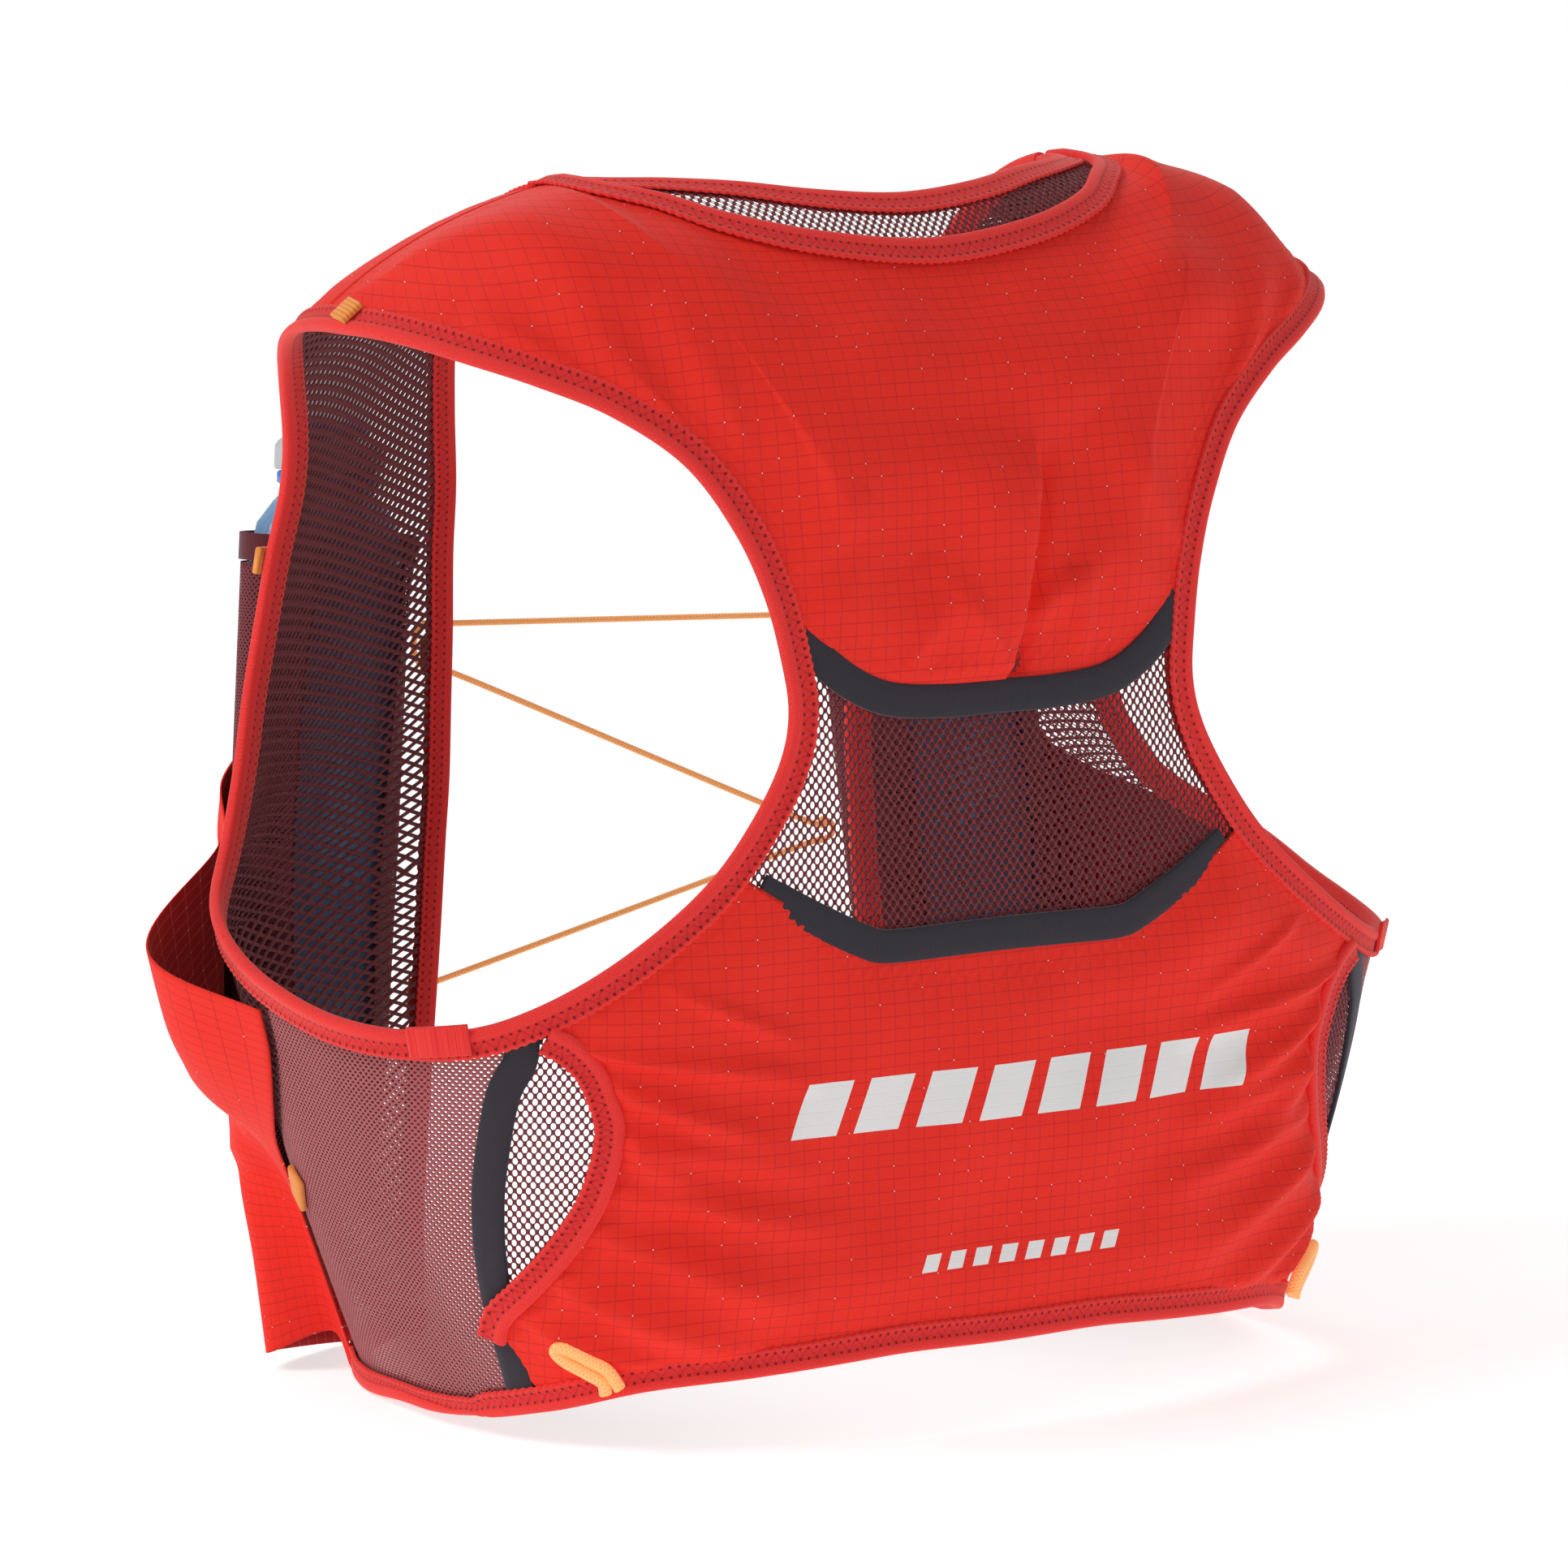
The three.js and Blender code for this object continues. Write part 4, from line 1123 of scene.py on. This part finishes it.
upper_back = panel(
    "upper_back_cloth", upper_grid, red_cloth, 1.5, 6.5,
    [(a, b, 1.7 * tall, wide) for a, b, tall, wide in UPPER_CREASES],
    seed=3, uneven=1.8, inside=red_inside, reach=46.0,
    pleat=((-17, 293), (-2, 222), 6.0, 26.0),
)
placed(upper_back, "upper_back_panel", rests_on=["back_mesh_panel"])

# Lower back pocket.
pocket_under = shifted(pocket_edge, -4.0)
pocket_side = cut(pocket_under, (144, 51, 21), (139, 79, 119))
pocket_arm = cut(arm_under, (140, 77, 126), (88, 92, 166))
hem_pocket = cut(hem_under, (0, 99, 20), (133, 57, 8))[::-1]
pocket_left = np.vstack([hem_pocket[:1], pocket_side, pocket_arm])
band_top = cut(shifted(lower_band_edge, 8.0), (0, 99, 140), (86, 92, 162))[::-1]
pocket_left[-1] = band_top[0]
pocket_middle = shoulder_line(hem_pocket[-1], band_top[-1])
pocket_grid = across_back(filled(hem_pocket, band_top, pocket_left, pocket_middle, 110, 110))
POCKET_CREASES = []
for sign in (1, -1):
    for start, end, tall, wide in [
        ((148, 122), (70, 92), 2.0, 5.0), ((150, 116), (84, 72), 1.8, 6.0),
        ((140, 126), (60, 112), 1.5, 4.0), ((128, 100), (60, 84), 1.3, 5.0),
        ((128, 84), (50, 66), 1.5, 6.0), ((130, 72), (66, 44), 2.0, 7.0),
        ((138, 56), (80, 28), 2.2, 7.0), ((146, 44), (96, 22), 1.6, 5.0),
        ((108, 142), (66, 122), 1.2, 4.0),
    ]:
        POCKET_CREASES.append(
            ((sign * start[0], start[1]), (sign * end[0], end[1]), 2.2 * tall, 0.75 * wide)
        )
lower_pocket = panel(
    "lower_back_pocket_cloth", pocket_grid, red_printed, 1.6, 2.2, POCKET_CREASES, seed=8, uneven=1.6,
    inside=red_inside,
)
placed(lower_pocket, "lower_back_pocket_panel", rests_on=["back_mesh_panel"])

# Ends of a bend of the cloth between the back and each front, round the side and over the shoulder;
# nothing below uses them.
BEND_START = to_frame((0, -12, 100))
BEND_END = to_frame((0, -62, 100))


def bend(item):
    """Bakes the piece's transform into its mesh; no bending is done."""
    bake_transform(item)


def both_sides(name, item, nodes, cloth_on=None, rigid=None):
    """Finishes a left piece and its mirror image: hides their CAD nodes, works out cloth size, and parents
    each to its body or bakes its transform.
    """
    item.name = f"{name}_left"
    other = mirrored(item, f"{name}_right")
    for piece, side in ((item, "left"), (other, "right")):
        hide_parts(*[f"{n}_{side}" for n in nodes])
        if cloth_on:
            declare_cloth(piece)
        if rigid is None:
            bend(piece)
        elif rigid == BACK:
            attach(piece, BACK)
        else:
            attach(piece, f"{side}_{rigid}")
    return item, other


# Side panels.
seam_line = side_seam[::-1]
side_left = seam_line.copy()
side_right = side_band[8:-4][::-1].copy()
side_low = cut(hem_under, (129.6, -56.8, -1), (139, 38, 6))
side_high = cut(arm_under, (186, -13, 126), (153, 66, 118))
side_high = side_high if side_high[0][1] < side_high[-1][1] else side_high[::-1]
side_low = side_low if side_low[0][1] < side_low[-1][1] else side_low[::-1]
side_left[0], side_left[-1] = side_low[0], side_high[0]
side_right[0], side_right[-1] = side_low[-1], side_high[-1]
side_grid = filled(side_low, side_high, side_left, side_right, 50, 60)
side_piece = panel("side_panel_mesh", side_grid, side_knit, 0.6, 0.4, seed=5, uneven=0.6, pucker=0.1)
both_sides("side_panel_mesh", side_piece, ["side_mesh_panel"], "armhole_binding_back")

# Front lining: strap, chest and flank.
front_under = shifted(front_edge, UNDER)
front_left = np.vstack([seam_line, arm_front_under])
front_right = front_under[::-1].copy()
front_low = cut(hem_under, (129.6, -56.8, -1), (86, -92.5, -1))
front_left[0] = front_low[0]
front_right[0] = front_low[-1]
front_top = shoulder_line(front_left[-1], front_right[-1])
front_grid = filled(front_low, front_top, front_left, front_right, 44, 140)
front_piece = panel(
    "front_lining_net", front_grid, net_knit, 0.3, 0.2, seed=6, uneven=0.4, pucker=0, local=True,
)
both_sides(
    "front_lining_net", front_piece, ["front_mesh_panel"], "armhole_binding_front",
)

# Outer cloth over the front of each shoulder.
yoke_left = cut(arm_front_under, (150, -62, 292), (166, -15, 316))
yoke_right = cut(front_under, (88, -48, 341), (90, -14, 355))
yoke_low = shoulder_line(yoke_left[0], yoke_right[0])
yoke_high = shoulder_line(yoke_left[-1], yoke_right[-1])
yoke_grid = filled(yoke_low, yoke_high, yoke_left, yoke_right, 30, 24)
yoke_piece = panel(
    "front_yoke_cloth", yoke_grid, red_cloth, 1.7, 1.2, seed=9, uneven=0.4, local=True,
)
both_sides("front_yoke_cloth", yoke_piece, ["front_shoulder_panel"], "front_mesh_panel")

# ---- Bindings and bands --------------------------------------------------------------------------

BINDING_PROFILE = np.array([
    # sideways from the folded edge, height above the form
    (0.0, 0.6), (0.0, 1.7), (0.35, 2.6), (1.1, 3.15), (2.2, 3.2), (3.3, 2.95), (3.9, 2.7),
    (5.4, 2.55), (6.9, 2.7), (7.5, 3.05), (8.1, 3.1), (8.6, 2.7), (8.7, 2.1), (8.4, 1.7),
    (6.0, 1.5), (3.0, 1.4), (3.0, 0.0), (6.0, 0.0), (8.3, 0.1), (8.6, -0.3), (8.0, -0.6),
    (5.0, -0.6), (2.0, -0.7), (0.8, -0.45), (0.2, 0.0),
])
SCALLOP_PITCH = 5.0


def swept(name, line, profile, material, sign=1.0, closed=False, scallop=0.0, dip=0.0):
    """A profile of sideways and height values carried along a curve on the form; the ends dip."""
    side = sideways(line, closed) * sign
    normal = form_normal(line)
    run = lengths(np.vstack([line, line[:1]]) if closed else line)[:len(line)]
    total = run[-1] + (np.linalg.norm(line[0] - line[-1]) if closed else 0)
    turns = max(round(total / SCALLOP_PITCH), 1) / total
    wave = np.cos(2 * math.pi * run * turns * 2)
    points = []
    for s, h in profile:
        reach = s + scallop * wave * (np.sign(s) if abs(s) > 7.3 else 0.0)
        lift = h + scallop * 0.5 * wave * (1.0 if 3.5 < abs(s) < 8.3 and h > 2 else 0.0)
        lift = lift - dip * (1 - soft_step(np.minimum(run, total - run), 2, 16))
        near = on_form(line + side * np.asarray(reach)[..., None])
        points.append(near + form_normal(near) * np.asarray(lift)[..., None])
    points = np.stack(points, 1)
    stretch = SCALLOP_PITCH * turns
    cloth = np.stack(np.broadcast_arrays((run * stretch)[:, None], np.abs(profile[:, 0])[None]), -1)
    rows, columns = points.shape[:2]
    faces = grid_faces(rows, columns, wrap_rows=closed, wrap_columns=True)
    if not closed:
        faces.append(list(range(columns))[::-1])
        faces.append(list(range((rows - 1) * columns, rows * columns)))
    item = build(name, points.reshape(-1, 3), faces, cloth.reshape(-1, 2), material)
    face_out(item)
    return item


def across(line):
    """The left half of a curve and its mirror image as one curve."""
    return np.vstack([line[::-1], line[1:] * MIRROR])


arm_line = on_form(smooth_line(ARMHOLE, 900, closed=True))[:-1]
arm_item = swept("armhole", arm_line, BINDING_PROFILE, red_binding, closed=True, scallop=0.28)
both_sides(
    "armhole_binding", arm_item, ["armhole_binding_back", "armhole_binding_front"],
)

front_item = swept(
    "front_edge", evenly(front_edge[:-8], 620), BINDING_PROFILE, red_binding, scallop=0.28,
)
both_sides("front_edge_binding_folded", front_item, ["front_edge_binding"])

neck_item = swept(
    "neck_binding_lining", across(evenly(neck_inner[:-2], 240)),
    BINDING_PROFILE * np.array([1.0, 0.62]) - np.array([0, 0.1]), red_binding, sign=-1.0, scallop=0.25,
)
placed(neck_item, "neck_binding_inner")
OUTER_PROFILE = BINDING_PROFILE * np.array([1.0, 0.75]) + np.array([0, 1.6])
outer_neck_item = swept(
    "neck_binding_pocket", across(evenly(neck_outer[:-2], 260)), OUTER_PROFILE, red_binding,
    sign=-1.0, scallop=0.25,
)
placed(outer_neck_item, "neck_binding_outer")

hem_back_line = evenly(cut(hem, (0, 99, 17), (139.8, -4, -5)), 420)
hem_item = swept(
    "hem_binding_folded", across(hem_back_line), BINDING_PROFILE, red_binding, sign=1.0, scallop=0.25,
)
placed(hem_item, "hem_binding_back")
hem_front_line = evenly(cut(hem, (139.8, -4, -5), (86, -92.5, -4.6)), 260)
hem_front_item = swept(
    "hem_front", hem_front_line, BINDING_PROFILE, red_binding, sign=-1.0, scallop=0.25,
)
both_sides("hem_binding_front_folded", hem_front_item, ["hem_binding_front"])

edge_item = swept(
    "pocket_edge", evenly(pocket_edge, 260), OUTER_PROFILE * np.array([-1.0, 1.0]) + np.array([0, 0.2]),
    red_binding, scallop=0.28,
)
both_sides(
    "side_pocket_binding_folded", edge_item, ["side_pocket_binding"], rigid=BACK,
)

BAND_PROFILE = np.array([
    (0.0, 1.5), (0.15, 2.5), (0.6, 2.85), (3.0, 3.0), (5.0, 3.05), (7.0, 3.0), (9.4, 2.85),
    (9.85, 2.5), (10.0, 1.5), (9.7, 1.3), (5.0, 1.3), (0.3, 1.3),
])
for label, line, node in (
    ("upper_band_elastic", upper_band_edge, "upper_back_elastic_band"),
    ("lower_band_elastic", lower_band_edge, "lower_pocket_elastic_band"),
):
    item = swept(label, across(evenly(line, 160)), BAND_PROFILE, charcoal, sign=-1.0, dip=0.6)
    placed(item, node)
SIDE_BAND_PROFILE = BAND_PROFILE * np.array([1.0, 0.8]) - np.array([5.0, 0.4])
side_band_item = swept("side_band", evenly(side_band, 160), SIDE_BAND_PROFILE, charcoal)
both_sides(
    "side_band_elastic", side_band_item, ["side_elastic_band"], rigid=BACK,
)

# ---- Soft flask ----------------------------------------------------------------------------------

FOOT = np.array([123.0, -106.0, 50.0])
HEAD = np.array([104.5, -117.5, 264.0])
FLASK_UP = (HEAD - FOOT) / np.linalg.norm(HEAD - FOOT)
FLASK_WIDE = np.array([0.94, 0.34, 0.0])
FLASK_WIDE = FLASK_WIDE - FLASK_UP * (FLASK_WIDE @ FLASK_UP)
FLASK_WIDE /= np.linalg.norm(FLASK_WIDE)
FLASK_OUT = np.cross(FLASK_WIDE, FLASK_UP)
SECTIONS = np.array([
    (0, 26, 2.6), (6, 30, 4.2), (30, 32, 9), (60, 32, 13), (100, 32, 16), (150, 32, 16),
    (186, 31, 15.5), (196, 28, 15), (203, 20, 13.5), (207, 12.5, 12.5),
])
THICKEST = 16.0
LEAN = 0.3


def flask_section(s):
    """Half width, half thickness and lean at a distance up the flask."""
    wide = np.interp(s, SECTIONS[:, 0], SECTIONS[:, 1])
    thick = np.interp(s, SECTIONS[:, 0], SECTIONS[:, 2])
    lean = np.where(s > 190, 0.0, -LEAN * (THICKEST - thick)) + np.where(s < 0, 10.5 * s / 45, 0.0)
    return wide, thick, lean


def flask_point(s, wide, out):
    """Point from distance up, across and out of the flask's own axes."""
    s, wide, out = (np.asarray(v, float)[..., None] for v in np.broadcast_arrays(s, wide, out))
    return FOOT + FLASK_UP * s + FLASK_WIDE * wide + FLASK_OUT * out


def flask_rings(levels, grow, sides):
    """Closed rings round the flask, one for each level."""
    wide, thick, lean = (v[:, None] for v in flask_section(levels))
    turn = np.linspace(0, 2 * math.pi, sides, endpoint=False)[None]
    return flask_point(
        levels[:, None], (wide + grow) * np.cos(turn), lean + (thick + grow) * np.sin(turn),
    )


def capped_rings(name, rings, material):
    """Stack of rings closed by a point at each end."""
    rows, columns = rings.shape[:2]
    points = np.concatenate([rings.reshape(-1, 3), rings[:1].mean(1), rings[-1:].mean(1)])
    faces = grid_faces(rows, columns, wrap_columns=True)
    here = np.arange(columns)
    after = (here + 1) % columns
    low, high = np.full(columns, rows * columns), np.full(columns, rows * columns + 1)
    faces += np.stack([low, after, here], 1).tolist()
    last = (rows - 1) * columns
    faces += np.stack([high, last + here, last + after], 1).tolist()
    run = lengths(rings.mean(1))
    around = np.linspace(0, np.linalg.norm(np.diff(rings[rows // 2], axis=0), axis=1).sum(), columns)
    cloth = np.stack(np.broadcast_arrays(around[None], run[:, None]), -1).reshape(-1, 2)
    cloth = np.concatenate([cloth, [[0, 0], [0, run[-1]]]])
    item = build(name, points, faces, cloth, material)
    face_out(item)
    return item


def turned(name, profile, material, sides=64, flutes=0, depth=0.0):
    """Round piece on the flask's axis from radius and height pairs, with optional flutes."""
    profile = np.array(profile, float)
    turn = np.linspace(0, 2 * math.pi, sides, endpoint=False)[None]
    radius = profile[:, :1] - depth * (profile[:, :1] > 13) * (np.cos(turn * flutes) > 0.2)
    rings = flask_point(profile[:, 1:], radius * np.cos(turn), radius * np.sin(turn))
    return capped_rings(name, rings, material)


levels = np.concatenate([np.linspace(0.4, 196, 90), np.linspace(197, 219.5, 22)])
flask_item = capped_rings("flask_skin", flask_rings(levels, -0.2, 72), film)
both_sides("flask_skin", flask_item, ["flask_body"], rigid="flask")
collar_item = turned("collar", [
    (12.8, 207.7), (15.4, 207.7), (16, 208.3), (16, 211), (15.4, 211.6), (12.8, 211.6),
], ring_blue)
both_sides("flask_ring_moulded", collar_item, ["flask_collar"], rigid="flask")
cap_item = turned("cap", [
    (12.9, 212.1), (16.6, 212.1), (17, 212.6), (17, 219.2), (16.2, 220.6), (14.8, 221.8), (9, 222.1),
], cap_grey, sides=96, flutes=24, depth=0.5)
both_sides("flask_cap_moulded", cap_item, ["flask_cap"], rigid="cap")
valve_item = turned("valve", [
    (8, 222.5), (10.8, 222.5), (11.4, 223.2), (11.4, 224.4), (10.4, 226), (8, 227.1), (4, 227.4),
], ring_blue)
both_sides("flask_valve_soft", valve_item, ["flask_bite_valve"], rigid="valve")

# ---- Pockets of the fronts -----------------------------------------------------------------------


def sunk(points, height):
    """Moves points against the flask's outward direction onto the form, then out by a height."""
    low = np.zeros(points.shape[:-1])
    high = np.full(points.shape[:-1], 80.0)
    for _ in range(30):
        middle = (low + high) / 2
        outside = field(points - FLASK_OUT * middle[..., None]) > 0
        low = np.where(outside, middle, low)
        high = np.where(outside, high, middle)
    landed = points - FLASK_OUT * low[..., None]
    return landed + form_normal(landed) * np.asarray(height, float)[..., None]


FOOT_INNER, FOOT_OUTER, SLEEVE_WRAP, SLEEVE_CLEAR, SLEEVE_FULL = -12.0, 25.0, 0.6, 1.2, 150.0


def sleeve_rows(levels, clear, height, count):
    """Rows of the stretch sleeve: chest, round the outside of the flask, and back to the chest."""
    wide, thick, lean = (v[:, None] for v in flask_section(np.minimum(levels, SLEEVE_FULL)))
    turn = np.linspace(math.pi + SLEEVE_WRAP, -SLEEVE_WRAP, 26)[None]
    round_it = flask_point(
        levels[:, None], (wide + clear) * np.cos(turn), lean + (thick + clear) * np.sin(turn),
    )
    first = sunk(flask_point(levels, FOOT_INNER, 0), height)
    last = sunk(flask_point(levels, FOOT_OUTER, 0), height)
    rows = []
    for a, middle, b in zip(first, round_it, last):
        rows.append(evenly(np.vstack([a, middle, b]), count))
    return np.array(rows)


sleeve_levels = np.linspace(-3, 184, 84)
floor_row = sunk(flask_point(-13.7, np.linspace(FOOT_INNER, FOOT_OUTER, 101), 0), 2.1)
sleeve_in = np.concatenate([floor_row[None], sleeve_rows(sleeve_levels, SLEEVE_CLEAR, 2.4, 100)])
floor_row = sunk(flask_point(-14.4, np.linspace(FOOT_INNER, FOOT_OUTER, 101), 0), 2.1)
sleeve_out = np.concatenate([
    floor_row[None], sleeve_rows(sleeve_levels, SLEEVE_CLEAR + 0.6, 1.8, 100),
])
sleeve_item = sheet_between("sleeve", sleeve_in, sleeve_out, gauge(sleeve_in), pocket_knit)
both_sides(
    "flask_sleeve", sleeve_item, ["flask_pocket"], "front_mesh_panel", rigid="front",
)
rim_levels = np.linspace(184.8, 193, 8)
rim_in = sleeve_rows(rim_levels, SLEEVE_CLEAR, 2.9, 100)
rim_out = sleeve_rows(rim_levels, SLEEVE_CLEAR + 1.3, 1.7, 100)
rim_item = sheet_between("rim", rim_in, rim_out, gauge(rim_in), wine_elastic)
both_sides(
    "flask_sleeve_rim", rim_item, ["flask_pocket_elastic"], rigid="front",
)


def curve_at(points, t):
    """Catmull-Rom value at share t of a chain of control points, arrays in the leading axes."""
    count = points.shape[-2]
    chain = np.concatenate([
        2 * points[..., :1, :] - points[..., 1:2, :], points,
        2 * points[..., -1:, :] - points[..., -2:-1, :],
    ], -2)
    place = np.clip(t * (count - 1), 0, count - 1.0001)
    first = place.astype(int)
    t = (place - first)[..., None]
    pick = [np.take_along_axis(chain, (first + k)[..., None, None], -2)[..., 0, :] for k in range(4)]
    return catmull_rom(*pick, t)


POCKET_CLEAR = 5.0
POCKET_FLOOR = -5
MOUTH_LOW = 123
MOUTH_RISE = 84
MOUTH_SWEEP = 1.05
seam_front = shifted(side_seam, -1.2)[::-1]


def lower_pocket(thick, columns, rows):
    """Seam to flask: a wall that bulges off the body and gapes at the top."""
    u = np.linspace(0, 1, columns)[None]
    v = np.linspace(0, 1, rows)[:, None]
    z = POCKET_FLOOR + (MOUTH_LOW + MOUTH_RISE * u**MOUTH_SWEEP) * v
    s = (z - FOOT[2]) / FLASK_UP[2]
    wide, fat, lean = flask_section(s)
    seam = np.stack([
        np.interp(z, seam_front[:, 2], seam_front[:, 0]),
        np.interp(z, seam_front[:, 2], seam_front[:, 1]), z,
    ], -1)
    gape = 3.5 + 20 * np.sin(math.pi / 2 * np.minimum(v * 1.15, 1)) ** 4
    gape = gape + 3 * (1 - soft_step(v, 0.0, 0.3))
    out = fat + SLEEVE_CLEAR + 3.4 - 1.7 * u
    across_it = wide + SLEEVE_CLEAR + POCKET_CLEAR
    seam_point = on_form(seam, 2.4 + thick)
    corner = flask_point(s, across_it + thick, lean)
    side = on_form(seam_point * 0.58 + corner * 0.42, gape + thick)

    def rise(angle):
        return flask_point(
            s, (across_it + thick) * math.cos(angle), lean + (out + thick) * math.sin(angle),
        )

    chain = np.stack([
        seam_point, side, corner * 0.88 + side * 0.12, rise(0.8), rise(1.57), rise(2.1),
    ], -2)
    return curve_at(chain, np.broadcast_to(u, z.shape))


POCKET_LIFT = 0.1
POCKET_CLOTH = 0.6
low_in = lower_pocket(POCKET_LIFT, 90, 80)
low_out = lower_pocket(POCKET_LIFT + POCKET_CLOTH, 90, 80)
low_cloth = gauge(low_in)
wrinkle = folds(low_cloth, [
    ((100, 150), (20, 60), 1.4, 6), ((70, 158), (10, 100), 1.2, 5), ((110, 100), (40, 20), 1.5, 8),
]) * soft_step(edge_distance(low_in), 0, 12)
low_out_normal = (low_out - low_in) / POCKET_CLOTH
low_in = low_in + low_out_normal * wrinkle[..., None]
low_out = low_out + low_out_normal * wrinkle[..., None]
low_item = sheet_between("low_pocket", low_in, low_out, low_cloth, red_cloth, red_inside)
both_sides(
    "front_low_pocket_cloth", low_item, ["lower_front_pocket"], "flask_pocket",
    rigid="front",
)

# ---- Small webbing pieces ------------------------------------------------------------------------


def tape(name, start, end, width, low, high, material):
    """Flat tab of tape lying on the form between two points."""
    line = shoulder_line(np.array(start, float), np.array(end, float))
    half, soft = width / 2, min(0.5, (high - low) / 2)
    profile = np.array([
        (-half, low), (-half, high - soft), (-half + soft, high), (half - soft, high),
        (half, high - soft), (half, low), (0, low),
    ])
    return swept(name, line, profile, material)


TABS = [
    ("underarm_wrap", "underarm_tab", (162, 63, 118.6), (170, 48, 117.6), 9.4, 3.0, 4.1, red_plain,
     "binding_elastic", BACK),
    ("shoulder_loop_tape", "shoulder_webbing_loop", (163, 2, 316), (157, 3, 320), 8, 3.4, 5.4,
     webbing, "orange_webbing", BACK),
    ("chest_tab_tape", "chest_webbing_tab", (148, -79, 240), (141, -83, 240), 8, 3.4, 5.4,
     webbing, "orange_webbing", "front"),
    ("side_tab_tape", "side_webbing_tab", (159, -31, 66), (154, -39, 56), 8, 1.6, 3.4, webbing,
     "orange_webbing", BACK),
]
for label, node, start, end, width, low, high, finish, slot_name, body in TABS:
    piece = tape(label, start, end, width, low, high, finish)
    both_sides(label, piece, [node], rigid=body)
ANCHORS = [
    ("upper_left", (79, -101, 205), "left"), ("lower_left", (82, -101, 97), "left"),
    ("upper_right", (-79, -101, 204), "right"), ("lower_right", (-79, -101, 136), "right"),
]
for label, at, side in ANCHORS:
    at = np.array(at, float)
    reach = np.array([math.copysign(3.4, at[0]), 0, 0])
    piece = tape(f"anchor_tape_{label}", at + reach, at - reach, 12, 3.4, 6.0, webbing)
    placed(piece, f"closure_anchor_{label}", f"{side}_front")
